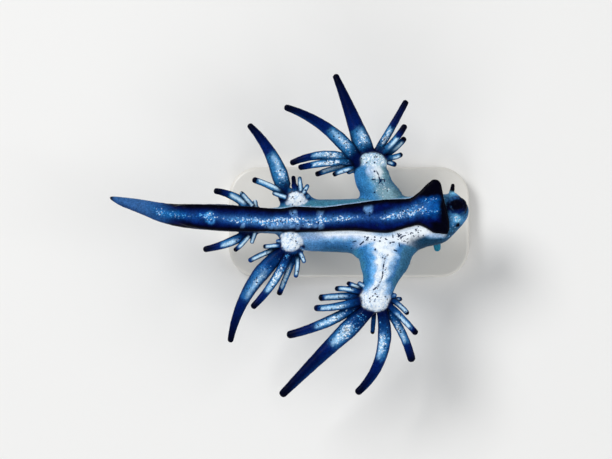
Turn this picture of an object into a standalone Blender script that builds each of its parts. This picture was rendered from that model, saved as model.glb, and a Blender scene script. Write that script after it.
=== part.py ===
# A blue dragon sea slug, life size, floating belly up on a plain display stand.
# +X runs to the head, +Y to the animal's right side and +Z to its belly, which faces up.
# The origin is the middle of the underside of the stand's base. Sizes are in millimetres
# and become metres where a mesh is made.
import math

import bmesh
import bpy
import numpy as np

MM = 0.001
GAP = 0.2  # the thin cut between two neighbouring pieces

# Outline of the body seen from above, from tail tip to nose:
# station along X, right edge, left edge, height of the axis, half the depth.
BODY = np.array([
    (-23.50, 2.45, 2.30, 10.15, 0.06),
    (-23.20, 2.50, 2.05, 10.14, 0.24),
    (-22.50, 2.46, 1.62, 10.12, 0.36),
    (-21.50, 2.35, 1.20, 10.08, 0.50),
    (-20.00, 2.15, 0.59, 10.02, 0.70),
    (-18.60, 1.91, 0.00, 9.95, 0.84),
    (-16.60, 1.76, -0.49, 9.85, 0.98),
    (-12.70, 1.76, -0.88, 9.75, 1.12),
    (-8.60, 1.37, -1.08, 9.70, 1.16),
    (-6.85, 1.47, -1.30, 9.60, 1.30),
    (-5.67, 1.86, -2.05, 9.35, 1.55),
    (-4.70, 2.10, -2.72, 9.15, 1.80),
    (-0.50, 2.25, -3.00, 9.00, 2.00),
    (2.44, 2.35, -3.30, 9.00, 2.05),
    (5.50, 2.45, -3.10, 9.00, 2.00),
    (7.63, 2.70, -2.42, 9.00, 1.90),
    (9.40, 2.72, -1.91, 8.95, 1.68),
    (10.07, 2.95, -1.32, 8.92, 1.50),
    (10.75, 2.55, -0.60, 8.88, 1.20),
    (11.24, 2.02, -0.02, 8.85, 0.86),
    (11.54, 1.62, 0.48, 8.83, 0.48),
    (11.66, 1.25, 0.86, 8.82, 0.18),
])
BODY_STEP = 0.95
BODY_SIDES = 14
NOSE_FROM = 9.8  # past here the rings stand at the table's own stations
TAIL_CUT = -18.6
LOIN_CUT = -13.2
WAIST_CUT = -8.0
CHEST_CUT = -1.95
NECK_CUT = 7.6

# The foot is the long sole down the middle of the belly, with a flap at its front right corner:
# station along X, right edge, left edge, height of its face, thickness.
FOOT = np.array([
    (-18.25, 0.98, 0.70, 10.70, 0.50),
    (-17.10, 1.50, 0.10, 10.82, 0.52),
    (-15.60, 1.72, -0.45, 10.88, 0.58),
    (-10.75, 1.58, -0.88, 10.95, 0.62),
    (-6.85, 1.32, -0.94, 11.00, 0.65),
    (-5.28, 1.52, -0.98, 11.05, 0.70),
    (-3.10, 1.42, -0.93, 11.10, 0.75),
    (0.00, 1.76, -0.83, 11.15, 0.80),
    (3.42, 2.12, -1.05, 11.15, 0.80),
    (5.70, 2.22, -0.52, 11.15, 0.80),
    (6.65, 2.84, -0.32, 11.15, 0.78),
    (7.45, 3.65, -0.60, 11.15, 0.76),
    (8.20, 4.15, -1.05, 11.12, 0.74),
    (8.80, 3.85, -1.12, 11.08, 0.72),
    (9.15, 2.35, -1.20, 11.05, 0.70),
    (9.45, 1.10, -1.20, 11.00, 0.66),
    (9.68, 0.10, -0.80, 10.95, 0.55),
])
FOOT_STEP = 1.25
FLAP_FROM = 6.0  # and so do the foot's, past here
FOOT_SIDES = 12
FOOT_CUT = -1.95
FOOT_SQUARENESS = 0.55  # 1 is an ellipse in section, less is closer to a plate

# Arms: X, Y, height, half width, half depth, from inside the trunk to the pad.
FRONT_LEFT_ARM = np.array([
    (3.32, -1.50, 9.30, 3.90, 1.20),
    (3.32, -2.54, 9.50, 3.30, 1.40),
    (3.32, -3.52, 9.75, 2.70, 1.45),
    (3.13, -4.69, 10.05, 2.15, 1.38),
    (2.93, -5.67, 10.30, 1.70, 1.25),
    (2.64, -6.75, 10.50, 1.50, 1.10),
    (2.44, -7.60, 10.60, 1.30, 0.95),
])
FRONT_RIGHT_ARM = np.array([
    (3.23, 0.70, 8.55, 2.75, 1.15),
    (2.98, 2.25, 8.72, 2.20, 1.22),
    (2.52, 3.52, 8.95, 1.70, 1.25),
    (2.20, 4.30, 9.08, 1.72, 1.18),
    (2.05, 5.08, 9.20, 1.62, 1.05),
    (2.05, 5.87, 9.30, 1.30, 0.88),
])
MIDDLE_LEFT_ARM = np.array([
    (-5.40, -1.20, 9.20, 1.60, 0.80),
    (-5.65, -1.90, 9.90, 1.30, 0.80),
    (-5.80, -2.55, 10.20, 1.05, 0.70),
])
MIDDLE_RIGHT_ARM = np.array([
    (-4.95, 1.10, 9.10, 1.90, 0.80),
    (-5.25, 1.80, 9.28, 1.62, 0.78),
    (-5.60, 2.50, 9.40, 1.38, 0.68),
    (-5.90, 3.10, 9.45, 1.10, 0.55),
])
REAR_LEFT_ARM = np.array([
    (-9.85, -0.50, 9.45, 1.05, 0.50),
    (-10.00, -1.05, 9.55, 0.90, 0.46),
    (-10.10, -1.40, 9.60, 0.70, 0.40),
])
REAR_RIGHT_ARM = np.array([
    (-9.85, 0.90, 9.45, 1.05, 0.50),
    (-10.00, 1.50, 9.50, 0.90, 0.46),
    (-10.10, 1.85, 9.55, 0.70, 0.40),
])
ARM_SIDES = 12
ARM_RINGS = 5
WRIST_AT = 0.62  # share of a front arm's length where the arm ends and the hand begins
FRONT_ARM_LENGTH = 6.0

CERAS_SIDES = {0.55: 6, 1.0: 7, 2.0: 9}  # by the width that each serves up to
CERAS_STEP = 0.85
CERAS_DEPTH = 0.86  # depth of a ceras for each unit of its width
ROOT_INSIDE = 0.55  # how far a ceras starts inside its pad
ROOT_LOWER = 0.25  # how far below the pad's middle the middle layer starts
RISE_CURVE = 1.5  # over 1, so that a ceras leaves its pad level and curves up or down later
ROUNDNESS = 0.97  # a rounded end closes with a small flat, at this share of its radius
TIP_SHOULDER = 0.55  # share of a rounded end's length where its extra ring stands
LAYER = 0.42  # height between two layers of cerata in one fan

# Head: feelers as root, tip, root diameter, tip diameter, and the mouth on its front right.
ORAL_LEFT = ((10.25, 0.00, 9.30), (10.62, -0.38, 10.25), 0.62, 0.50)
ORAL_RIGHT = ((9.90, 2.40, 9.20), (10.10, 3.74, 9.55), 0.62, 0.50)
RHINOPHORE_LEFT = ((8.50, -1.60, 8.05), (8.65, -2.84, 7.45), 0.70, 0.52)
RHINOPHORE_RIGHT = ((8.50, 1.90, 8.00), (8.60, 3.10, 7.35), 0.70, 0.52)
FEELER_SIDES = 8
MOUTH_PLACE = (10.50, 1.55, 9.78)
MOUTH_SIZE = (0.95, 0.92, 0.55)
MOUTH_OPENING = (0.34, 0.24, 0.30)

# Stand: a flat base with rounded corners and two rods that end in the back of the animal.
BASE_LENGTH = 24.0
BASE_WIDTH = 11.0
BASE_THICK = 2.0
BASE_CORNER = 3.0
BASE_EDGE = 0.35
ROD_DIAMETER = 1.4
ROD_SOCKET = 0.5
ROD_SIDES = 16
ROD_PLACES = {"stand_rod_front": (4.4, -0.40), "stand_rod_rear": (-6.4, 0.10)}


def ceras(rim, heading, bend, length, width, reach=None, tip=None, root=None, swell=0.3,
          taper=1.0, layer=0.0, rise=0.0, free=0.0):
    # Angles in degrees from +X: rim is where it leaves the pad, at reach from the pad's middle,
    # heading its first direction and bend what it turns by its tip. swell is the share of its
    # length where it is widest, and past free, where it isn't zero, it is a piece of its own.
    return {
        "rim": math.radians(rim), "heading": math.radians(heading), "bend": math.radians(bend),
        "length": length, "width": width, "reach": reach, "tip": tip or 0.84 * width,
        "root": root or 0.9 * width, "swell": swell, "taper": taper, "layer": layer,
        "rise": rise, "free": free,
    }


FANS = {
    "front_left": {
        "pad": (2.44, -7.53, 10.62), "pad_size": (1.42, 1.22, 0.85), "reach": 1.36,
        "cerata": [
            ceras(125, 146, 0, 1.2, 0.50, reach=1.2, layer=0.8),
            ceras(138, 158, 0, 1.9, 0.52, layer=0.3, rise=0.3),
            ceras(152, 163, 19, 2.7, 0.62, reach=1.45, layer=0.6, rise=0.2),
            ceras(168, 179, 7, 4.2, 0.80, tip=0.64, layer=-0.3, rise=-0.4, free=1.7),
            ceras(184, 200, -21, 4.7, 0.86, tip=0.62, layer=0.9, rise=0.3, free=2.1),
            ceras(197, 214, -21, 7.9, 1.06, reach=1.48, tip=0.74, swell=0.5, layer=-0.5,
                  rise=-0.6, free=2.2),
            ceras(238, 223, 3, 11.9, 1.82, tip=0.76, root=1.30, swell=0.24, taper=0.85,
                  layer=0.3, rise=-0.8, free=2.0),
            ceras(266, 266, 0, 2.1, 0.50, layer=-1.1, rise=-0.6),
            ceras(297, 284, -64, 8.7, 1.34, reach=1.56, tip=0.70, root=1.05, swell=0.28,
                  layer=0.2, rise=-0.5, free=1.7),
            ceras(326, 310, -27, 6.3, 0.86, reach=1.07, tip=0.80, layer=-1.0, rise=-0.8, free=2.3),
            ceras(341, 317, -6, 4.2, 0.70, reach=1.24, layer=0.6, rise=0.3, free=2.0),
            ceras(4, 332, -24, 2.5, 0.58, layer=0.2, rise=-0.2),
            ceras(356, 5, 0, 1.3, 0.50, layer=-0.4),
            ceras(9, 16, 0, 0.8, 0.50, layer=0.6),
        ],
    },
    "front_right": {
        "pad": (2.15, 5.96, 9.38), "pad_size": (1.36, 0.84, 0.72), "reach": 1.40,
        "cerata": [
            ceras(128, 109, 4, 8.3, 1.95, reach=1.02, tip=0.60, root=1.9, swell=0.14,
                  taper=0.85, layer=-0.6, rise=-0.6, free=1.4),
            ceras(168, 126, 37, 8.7, 1.44, reach=1.65, tip=0.60, root=1.25, swell=0.28,
                  taper=0.85, layer=0.7, rise=0.2, free=2.2),
            ceras(180, 158, 48, 6.8, 0.92, tip=0.56, swell=0.5, layer=-0.6, rise=-0.4, free=2.2),
            ceras(183, 178, 16, 5.6, 0.74, reach=1.66, tip=0.56, swell=0.6, layer=0.7,
                  rise=0.4, free=1.9),
            ceras(195, 182, 22, 4.0, 0.64, reach=1.74, layer=-0.9, rise=-0.4, free=1.7),
            ceras(205, 184, 26, 2.6, 0.58, reach=1.52, layer=0.4, rise=0.2),
            ceras(205, 207, 0, 1.2, 0.50, reach=1.5, layer=0.4),
            ceras(215, 225, 0, 0.8, 0.50, reach=1.2, layer=0.2),
            ceras(61, 58, 4, 5.9, 0.82, reach=1.01, tip=0.60, layer=-0.9, rise=-0.6, free=1.6),
            ceras(38, 40, 20, 3.8, 0.72, reach=1.11, layer=0.4, rise=0.3, free=1.7),
            ceras(25, 30, 22, 2.7, 0.68, layer=-0.9, rise=-0.2),
            ceras(12, 1, 27, 1.7, 0.58, layer=0.4),
            ceras(0, 340, 0, 1.1, 0.60, layer=-0.6),
        ],
    },
    "middle_left": {
        "pad": (-5.77, -1.96, 10.42), "pad_size": (0.92, 0.90, 0.60), "reach": 0.98,
        "cerata": [
            ceras(180, 172, 0, 0.8, 0.50, reach=0.7, layer=0.4),
            ceras(198, 185, 0, 1.8, 0.50, layer=0.5, rise=0.2),
            ceras(209, 197, 12, 3.6, 0.60, layer=-0.6, rise=-0.3, free=1.5),
            ceras(232, 218, 43, 10.6, 1.62, reach=1.15, tip=0.56, root=1.15, swell=0.30,
                  taper=0.9, layer=-0.4, rise=-0.9, free=2.2),
            ceras(262, 250, -26, 6.9, 0.88, reach=0.70, tip=0.62, swell=0.5, layer=0.3,
                  rise=0.1, free=2.6),
            ceras(294, 248, 0, 4.5, 0.66, reach=1.15, layer=-0.8, rise=-0.6, free=2.0),
            ceras(304, 280, -25, 2.7, 0.56, layer=0.3, rise=0.1),
            ceras(315, 299, -11, 1.4, 0.50, reach=1.1, layer=0.6),
            ceras(324, 329, 0, 0.7, 0.50, reach=0.85, layer=0.5),
        ],
    },
    "middle_right": {
        "pad": (-5.28, 2.25, 9.85), "pad_size": (0.84, 0.68, 0.52), "reach": 0.82,
        "cerata": [
            ceras(148, 101, 34, 7.6, 1.66, reach=1.35, tip=0.58, root=1.4, swell=0.26,
                  taper=0.9, layer=-0.5, rise=-0.5, free=1.6),
            ceras(164, 145, 18, 3.9, 0.68, tip=0.60, layer=0.5, rise=0.2, free=1.7),
            ceras(173, 157, 0, 1.6, 0.50, layer=0.3),
            ceras(99, 96, 0, 1.7, 0.50, reach=0.6, layer=0.5, rise=0.2),
            ceras(50, 97, 0, 1.6, 0.50, layer=0.2),
            ceras(36, 60, 0, 1.1, 0.50, layer=0.4),
            ceras(10, 20, 0, 0.5, 0.50, layer=0.2),
        ],
    },
    "rear_left": {
        "pad": (-9.58, -0.59, 9.62), "pad_size": None, "reach": 0.60,
        "cerata": [
            ceras(224, 210, -21, 4.4, 0.95, reach=0.93, tip=0.56, rise=-0.2, free=0.9),
            ceras(248, 238, -21, 2.3, 0.56, layer=0.2, rise=0.2),
            ceras(307, 252, 0, 1.2, 0.50, reach=0.5, rise=0.1),
        ],
    },
    "rear_right": {
        "pad": (-9.58, 0.98, 9.60), "pad_size": None, "reach": 0.55,
        "cerata": [
            ceras(122, 136, 38, 3.9, 0.94, tip=0.56, rise=-0.2, free=1.1),
            ceras(79, 131, 0, 1.9, 0.58, layer=0.2, rise=0.2),
            ceras(45, 98, 0, 0.8, 0.50, rise=0.1),
        ],
    },
}

FINISHES = {
    "foot_blue": ((0.008, 0.014, 0.110), 0.30, 0.0),
    "flank_silver": ((0.420, 0.560, 0.780), 0.35, 0.0),
    "ceras_blue": ((0.020, 0.090, 0.330), 0.28, 0.0),
    "pad_white": ((0.800, 0.840, 0.920), 0.50, 0.0),
    "mouth_dark": ((0.006, 0.012, 0.050), 0.30, 0.0),
    "base_lacquer": ((0.760, 0.750, 0.720), 0.45, 0.0),
    "rod_steel": ((0.620, 0.630, 0.640), 0.30, 1.0),
}


def clear_scene():
    for thing in list(bpy.data.objects):
        bpy.data.objects.remove(thing, do_unlink=True)


def finish(name):
    material = bpy.data.materials.get(name)
    if material is None:
        colour, roughness, metallic = FINISHES[name]
        material = bpy.data.materials.new(name)
        material.use_nodes = True
        shader = material.node_tree.nodes["Principled BSDF"]
        shader.inputs["Base Color"].default_value = (*colour, 1.0)
        shader.inputs["Roughness"].default_value = roughness
        shader.inputs["Metallic"].default_value = metallic
    return material


def as_object(name, bm, finish_name, helper=False):
    mesh = bpy.data.meshes.new(name)
    bmesh.ops.recalc_face_normals(bm, faces=bm.faces)
    bm.to_mesh(mesh)
    bm.free()
    mesh.shade_smooth()
    mesh.set_sharp_from_angle(angle=math.radians(40))
    thing = bpy.data.objects.new(name, mesh)
    bpy.context.scene.collection.objects.link(thing)
    mesh.materials.append(finish(finish_name))
    if helper:
        thing.hide_render = True
        thing.display_type = "WIRE"
    return thing


def smooth(stations, at):
    # Rows read from a table at the given places, on a curve through them that never overshoots.
    x, rows = stations[:, 0], stations[:, 1:]
    step = np.diff(x)[:, None]
    slope = np.diff(rows, axis=0) / step
    tangent = np.vstack([slope[:1], (slope[:-1] + slope[1:]) / 2, slope[-1:]])
    tangent[1:-1] = np.where(slope[:-1] * slope[1:] > 0, tangent[1:-1], 0.0)
    limit = 3.0 * np.minimum(
        np.abs(np.vstack([slope[:1], slope])), np.abs(np.vstack([slope, slope[-1:]]))
    )
    tangent = np.clip(tangent, -limit, limit)
    at = np.clip(at, x[0], x[-1])
    i = np.clip(np.searchsorted(x, at) - 1, 0, len(x) - 2)
    h = step[i]
    t = ((at - x[i]) / h[:, 0])[:, None]
    return (
        rows[i] * (1 + 2 * t) * (1 - t) ** 2
        + tangent[i] * h * t * (1 - t) ** 2
        + rows[i + 1] * t * t * (3 - 2 * t)
        + tangent[i + 1] * h * t * t * (t - 1)
    )


def skin_rings(name, rings, finish_name, helper=False):
    # A closed body through rings of points, each ring closed by its own face at the two ends.
    bm = bmesh.new()
    loops = [[bm.verts.new(np.asarray(point) * MM) for point in ring] for ring in rings]
    count = len(loops[0])
    for near, far in zip(loops, loops[1:]):
        for k in range(count):
            bm.faces.new((near[k], near[(k + 1) % count], far[(k + 1) % count], far[k]))
    bm.faces.new(loops[0][::-1])
    bm.faces.new(loops[-1])
    return as_object(name, bm, finish_name, helper)


def sweep(name, line, along, across, deep, sides, finish_name, helper=False):
    # An elliptical tube along a line that runs more or less level, with its direction at each point.
    along = along / np.linalg.norm(along, axis=1)[:, None]
    side = np.cross((0.0, 0.0, 1.0), along)
    side /= np.linalg.norm(side, axis=1)[:, None]
    up = np.cross(along, side)
    angles = np.arange(sides) * 2 * math.pi / sides
    rings = [
        [p + s * w * math.cos(a) + u * d * math.sin(a) for a in angles]
        for p, s, u, w, d in zip(line, side, up, across, deep)
    ]
    return skin_rings(name, rings, finish_name, helper)


def ball(name, place, size, finish_name, segments=12, rings=8, helper=False):
    bm = bmesh.new()
    bmesh.ops.create_uvsphere(bm, u_segments=segments, v_segments=rings, radius=MM)
    bmesh.ops.scale(bm, vec=size, verts=bm.verts)
    bmesh.ops.translate(bm, vec=np.asarray(place) * MM, verts=bm.verts)
    return as_object(name, bm, finish_name, helper)


def combine(thing, operation, *others):
    for other in others:
        other.hide_render = True
        other.display_type = "WIRE"
        modifier = thing.modifiers.new(f"{operation} {other.name}", "BOOLEAN")
        modifier.operation = operation
        modifier.solver = "EXACT"
        modifier.object = other


def foot_underside(x):
    # The belly is flat just under the foot, and past the foot's front edge nothing cuts it.
    if x < TAIL_CUT or x > FOOT[-1, 0] + GAP:
        return math.inf
    _, _, face, thick = smooth(FOOT, np.array([x]))[0]
    return face - thick - GAP


def body_rings(start, end, grow=0.0):
    inner = np.linspace(start, end, max(3, round((end - start) / BODY_STEP) + 1))
    nose_rows = [x for x in BODY[:, 0] if start < NOSE_FROM < x < end]
    places = np.array(sorted({*inner[inner < NOSE_FROM], *nose_rows, start, end}))
    angles = np.arange(BODY_SIDES) * 2 * math.pi / BODY_SIDES
    rings = []
    for x, (right, left, axis, half_depth) in zip(places, smooth(BODY, places)):
        middle = (right + left) / 2
        half_width = (right - left) / 2 + grow
        top = math.inf if grow else foot_underside(x)
        rings.append([
            (x, middle + half_width * math.cos(a),
             min(axis + (half_depth + grow) * math.sin(a), top))
            for a in angles
        ])
    return rings


def make_body():
    nose = BODY[-1, 0]
    lengths = {
        "tail_tip": (BODY[0, 0], TAIL_CUT, "flank_silver"),
        "tail_base": (TAIL_CUT, LOIN_CUT, "flank_silver"),
        "trunk_rear": (LOIN_CUT, WAIST_CUT, "flank_silver"),
        "trunk_middle": (WAIST_CUT, CHEST_CUT, "flank_silver"),
        "trunk_front": (CHEST_CUT, NECK_CUT, "flank_silver"),
        "head": (NECK_CUT, nose, "flank_silver"),
    }
    made = {}
    for name, (start, end, look) in lengths.items():
        start += GAP / 2 if start > BODY[0, 0] else 0.0
        end -= GAP / 2 if end < nose else 0.0
        made[name] = skin_rings(name, body_rings(start, end), look)
    return made


def make_foot():
    ends = {"foot_rear": (FOOT[0, 0], FOOT_CUT - GAP / 2), "foot_front": (FOOT_CUT + GAP / 2, FOOT[-1, 0])}
    angles = np.arange(FOOT_SIDES) * 2 * math.pi / FOOT_SIDES
    for name, (start, end) in ends.items():
        inner = np.linspace(start, end, round((end - start) / FOOT_STEP) + 1)
        flap_rows = [x for x in FOOT[:, 0] if start < FLAP_FROM < x < end]
        places = np.array(sorted({*inner[inner < FLAP_FROM], *flap_rows, start, end}))
        rings = []
        for x, (right, left, face, thick) in zip(places, smooth(FOOT, places)):
            middle, half = (right + left) / 2, (right - left) / 2
            rings.append([
                (x, middle + half * squared(math.cos(a)),
                 face - thick / 2 + thick / 2 * squared(math.sin(a)))
                for a in angles
            ])
        skin_rings(name, rings, "foot_blue")


def squared(value):
    return math.copysign(abs(value) ** FOOT_SQUARENESS, value)


def ceras_line(fan, spec, places):
    # Points and directions along one ceras, at distances from where it leaves its pad.
    length, turn = spec["length"], spec["bend"]
    fine = np.linspace(-ROOT_INSIDE, length, 120)
    share = np.clip(fine / length, 0.0, 1.0)
    heading = spec["heading"] + turn * share
    step = np.diff(fine)
    middle = (heading[1:] + heading[:-1]) / 2
    x = np.concatenate([[0.0], np.cumsum(np.cos(middle) * step)])
    y = np.concatenate([[0.0], np.cumsum(np.sin(middle) * step)])
    z = spec["rise"] * share ** RISE_CURVE
    slope = np.gradient(z, fine)
    at_rim = np.interp(0.0, fine, x), np.interp(0.0, fine, y)
    reach = spec["reach"] or fan["reach"]
    root_x = fan["pad"][0] + reach * math.cos(spec["rim"])
    root_y = fan["pad"][1] + reach * math.sin(spec["rim"])
    root_z = fan["pad"][2] - ROOT_LOWER + spec["layer"] * LAYER
    line = np.stack([
        np.interp(places, fine, x) - at_rim[0] + root_x,
        np.interp(places, fine, y) - at_rim[1] + root_y,
        np.interp(places, fine, z) + root_z,
    ], axis=1)
    way = np.interp(places, fine, heading)
    along = np.stack([np.cos(way), np.sin(way), np.interp(places, fine, slope)], axis=1)
    return line, along


def ceras_half_width(spec, places):
    share = np.clip(places / spec["length"], 0.0, 1.0)
    swell = spec["swell"]
    rising = np.sin(np.clip(share / swell, 0, 1) * math.pi / 2)
    falling = np.clip((share - swell) / (1 - swell), 0, 1) ** spec["taper"]
    width = spec["root"] + (spec["width"] - spec["root"]) * rising
    width = width + (spec["tip"] - spec["width"]) * falling
    half = width / 2
    end = spec["tip"] / 2
    into_tip = np.clip((places - (spec["length"] - end)) / end, 0.0, ROUNDNESS)
    return half * np.sqrt(1 - into_tip ** 2)


def make_ceras(name, fan, spec, start, end, helper=False):
    tip = spec["tip"] / 2
    whole = end >= spec["length"]
    straight_end = end - tip if whole else end
    rings = max(2, round((straight_end - start) / (CERAS_STEP + 0.25 * spec["width"])) + 1)
    places = np.linspace(start, straight_end, rings)
    if whole:
        places = np.append(places, (straight_end + TIP_SHOULDER * tip, end))
    line, along = ceras_line(fan, spec, places)
    half = ceras_half_width(spec, places)
    sides = next(count for most, count in CERAS_SIDES.items() if spec["width"] < most)
    return sweep(name, line, along, half, half * CERAS_DEPTH, sides, "ceras_blue", helper)


def arm_length(name, stations, start, end, look):
    # One length of an arm, between two shares of it.
    share = np.linspace(0.0, 1.0, len(stations))
    table = np.column_stack([share, stations])
    places = np.linspace(start, end, ARM_RINGS)
    rows = smooth(table, places)
    along = smooth(table, places + 0.01)[:, :3] - smooth(table, places - 0.01)[:, :3]
    return sweep(name, rows[:, :3], along, rows[:, 3], rows[:, 4], ARM_SIDES, look)


def make_fan(side, thing):
    # Joins the pad, the small cerata and the roots of the large ones to the hand or arm.
    fan = FANS[side]
    parts = []
    if fan["pad_size"]:
        parts.append(ball(f"pad_{side}", fan["pad"], fan["pad_size"], "pad_white", helper=True))
    number = 0
    for k, spec in enumerate(fan["cerata"]):
        if spec["free"]:
            number += 1
            name = f"ceras_{side}_{number}"
            make_ceras(name, fan, spec, spec["free"] + GAP, spec["length"])
            parts.append(make_ceras(f"root_{side}_{k}", fan, spec, -ROOT_INSIDE, spec["free"], True))
        else:
            parts.append(
                make_ceras(f"small_{side}_{k}", fan, spec, -ROOT_INSIDE, spec["length"], True)
            )
    combine(thing, "UNION", *parts)


def make_arms(body_cutter):
    half_cut = GAP / 2 / FRONT_ARM_LENGTH
    for side, stations in (("front_left", FRONT_LEFT_ARM), ("front_right", FRONT_RIGHT_ARM)):
        arm = arm_length(f"arm_{side}", stations, 0.0, WRIST_AT - half_cut, "flank_silver")
        combine(arm, "DIFFERENCE", body_cutter)
        hand = arm_length(f"hand_{side}", stations, WRIST_AT + half_cut, 1.0, "flank_silver")
        make_fan(side, hand)
    short_arms = {
        "middle_left": MIDDLE_LEFT_ARM, "middle_right": MIDDLE_RIGHT_ARM,
        "rear_left": REAR_LEFT_ARM, "rear_right": REAR_RIGHT_ARM,
    }
    for side, stations in short_arms.items():
        arm = arm_length(f"arm_{side}", stations, 0.0, 1.0, "flank_silver")
        make_fan(side, arm)
        combine(arm, "DIFFERENCE", body_cutter)


def make_feeler(name, spec, body_cutter):
    root, tip, wide, narrow = spec
    root, tip = np.array(root), np.array(tip)
    length = np.linalg.norm(tip - root)
    end = narrow / 2
    shoulder = length - end * (1 - TIP_SHOULDER)
    places = np.array([0.0, (length - end) / 2, length - end, shoulder, length])
    line = root + (tip - root) * (places / length)[:, None]
    half = (wide + (narrow - wide) * places / length) / 2
    into_tip = np.clip((places - (length - end)) / end, 0.0, ROUNDNESS)
    half *= np.sqrt(1 - into_tip ** 2)
    along = np.tile(tip - root, (len(line), 1))
    feeler = sweep(name, line, along, half, half, FEELER_SIDES, "ceras_blue")
    combine(feeler, "DIFFERENCE", body_cutter)


def make_mouth(head):
    grown = [size + GAP for size in MOUTH_SIZE]
    combine(head, "DIFFERENCE", ball("mouth_seat", MOUTH_PLACE, grown, "mouth_dark", helper=True))
    mouth = ball("mouth", MOUTH_PLACE, MOUTH_SIZE, "mouth_dark", 12, 7)
    top = (MOUTH_PLACE[0], MOUTH_PLACE[1], MOUTH_PLACE[2] + MOUTH_SIZE[2])
    opening = ball("mouth_opening", top, MOUTH_OPENING, "mouth_dark", 8, 5, helper=True)
    combine(mouth, "DIFFERENCE", opening)


def rod_top(x, y):
    right, left, axis, half_depth = smooth(BODY, np.array([x]))[0]
    across = (y - (right + left) / 2) / ((right - left) / 2)
    return axis - half_depth * math.sqrt(1 - across ** 2) + ROD_SOCKET


def cylinder(name, x, y, low, high, diameter, finish_name, helper=False):
    bm = bmesh.new()
    bmesh.ops.create_cone(
        bm, cap_ends=True, segments=ROD_SIDES, radius1=diameter / 2 * MM,
        radius2=diameter / 2 * MM, depth=(high - low) * MM,
    )
    bmesh.ops.translate(bm, vec=(x * MM, y * MM, (low + high) / 2 * MM), verts=bm.verts)
    return as_object(name, bm, finish_name, helper)


def make_stand(body):
    bm = bmesh.new()
    bmesh.ops.create_cube(bm, size=MM)
    bmesh.ops.scale(bm, vec=(BASE_LENGTH, BASE_WIDTH, BASE_THICK), verts=bm.verts)
    bmesh.ops.translate(bm, vec=(0, 0, BASE_THICK / 2 * MM), verts=bm.verts)
    upright = [e for e in bm.edges if abs(e.verts[0].co.z - e.verts[1].co.z) > 0.5 * MM]
    bmesh.ops.bevel(bm, geom=upright, offset=BASE_CORNER * MM, segments=5, profile=0.5, affect="EDGES")
    rim = [
        e for e in bm.edges
        if all(v.co.z > (BASE_THICK - 0.01) * MM for v in e.verts) and len(e.link_faces) == 2
    ]
    bmesh.ops.bevel(bm, geom=rim, offset=BASE_EDGE * MM, segments=1, profile=0.5, affect="EDGES")
    as_object("stand_base", bm, "base_lacquer")
    holders = {"stand_rod_front": body["trunk_front"], "stand_rod_rear": body["trunk_middle"]}
    for name, (x, y) in ROD_PLACES.items():
        top = rod_top(x, y)
        cylinder(name, x, y, BASE_THICK + GAP, top, ROD_DIAMETER, "rod_steel")
        socket = cylinder(
            f"socket_{name}", x, y, top - 3 * ROD_SOCKET, top + GAP, ROD_DIAMETER + 2 * GAP,
            "flank_silver", helper=True,
        )
        combine(holders[name], "DIFFERENCE", socket)


def main():
    clear_scene()
    body = make_body()
    make_foot()
    whole = body_rings(BODY[0, 0], BODY[-1, 0], grow=GAP)
    body_cutter = skin_rings("body_cutter", whole, "flank_silver", helper=True)
    make_arms(body_cutter)
    make_feeler("oral_tentacle_left", ORAL_LEFT, body_cutter)
    make_feeler("oral_tentacle_right", ORAL_RIGHT, body_cutter)
    make_feeler("rhinophore_left", RHINOPHORE_LEFT, body_cutter)
    make_feeler("rhinophore_right", RHINOPHORE_RIGHT, body_cutter)
    make_mouth(body["head"])
    make_stand(body)


main()
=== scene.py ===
import math

import bmesh
import bpy
import numpy as np
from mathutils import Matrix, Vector, noise


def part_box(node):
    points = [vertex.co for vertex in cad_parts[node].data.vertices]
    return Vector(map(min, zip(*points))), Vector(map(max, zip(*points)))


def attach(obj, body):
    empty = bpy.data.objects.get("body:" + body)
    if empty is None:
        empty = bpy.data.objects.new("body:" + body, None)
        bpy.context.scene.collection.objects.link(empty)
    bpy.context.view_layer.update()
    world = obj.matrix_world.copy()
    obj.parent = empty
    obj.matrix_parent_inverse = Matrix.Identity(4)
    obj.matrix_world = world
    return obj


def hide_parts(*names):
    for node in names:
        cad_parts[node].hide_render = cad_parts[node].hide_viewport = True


# A blue dragon sea slug, life size, belly up as it floats, on a plain display stand.
# +X runs to the head, +Y to the animal's right side and +Z to its belly. Sizes are in millimetres
# here and become metres where a finished mesh is made.

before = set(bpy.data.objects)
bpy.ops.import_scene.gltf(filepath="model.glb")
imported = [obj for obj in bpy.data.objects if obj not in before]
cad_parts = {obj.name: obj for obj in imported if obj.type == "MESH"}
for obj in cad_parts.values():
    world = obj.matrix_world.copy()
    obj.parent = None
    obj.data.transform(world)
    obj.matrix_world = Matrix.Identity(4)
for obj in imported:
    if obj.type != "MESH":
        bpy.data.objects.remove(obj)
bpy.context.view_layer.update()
mm = 0.001

probe = 0.02  # how far apart two points are whose difference gives a slope
far = 9.0     # farther from a surface than matters

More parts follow.
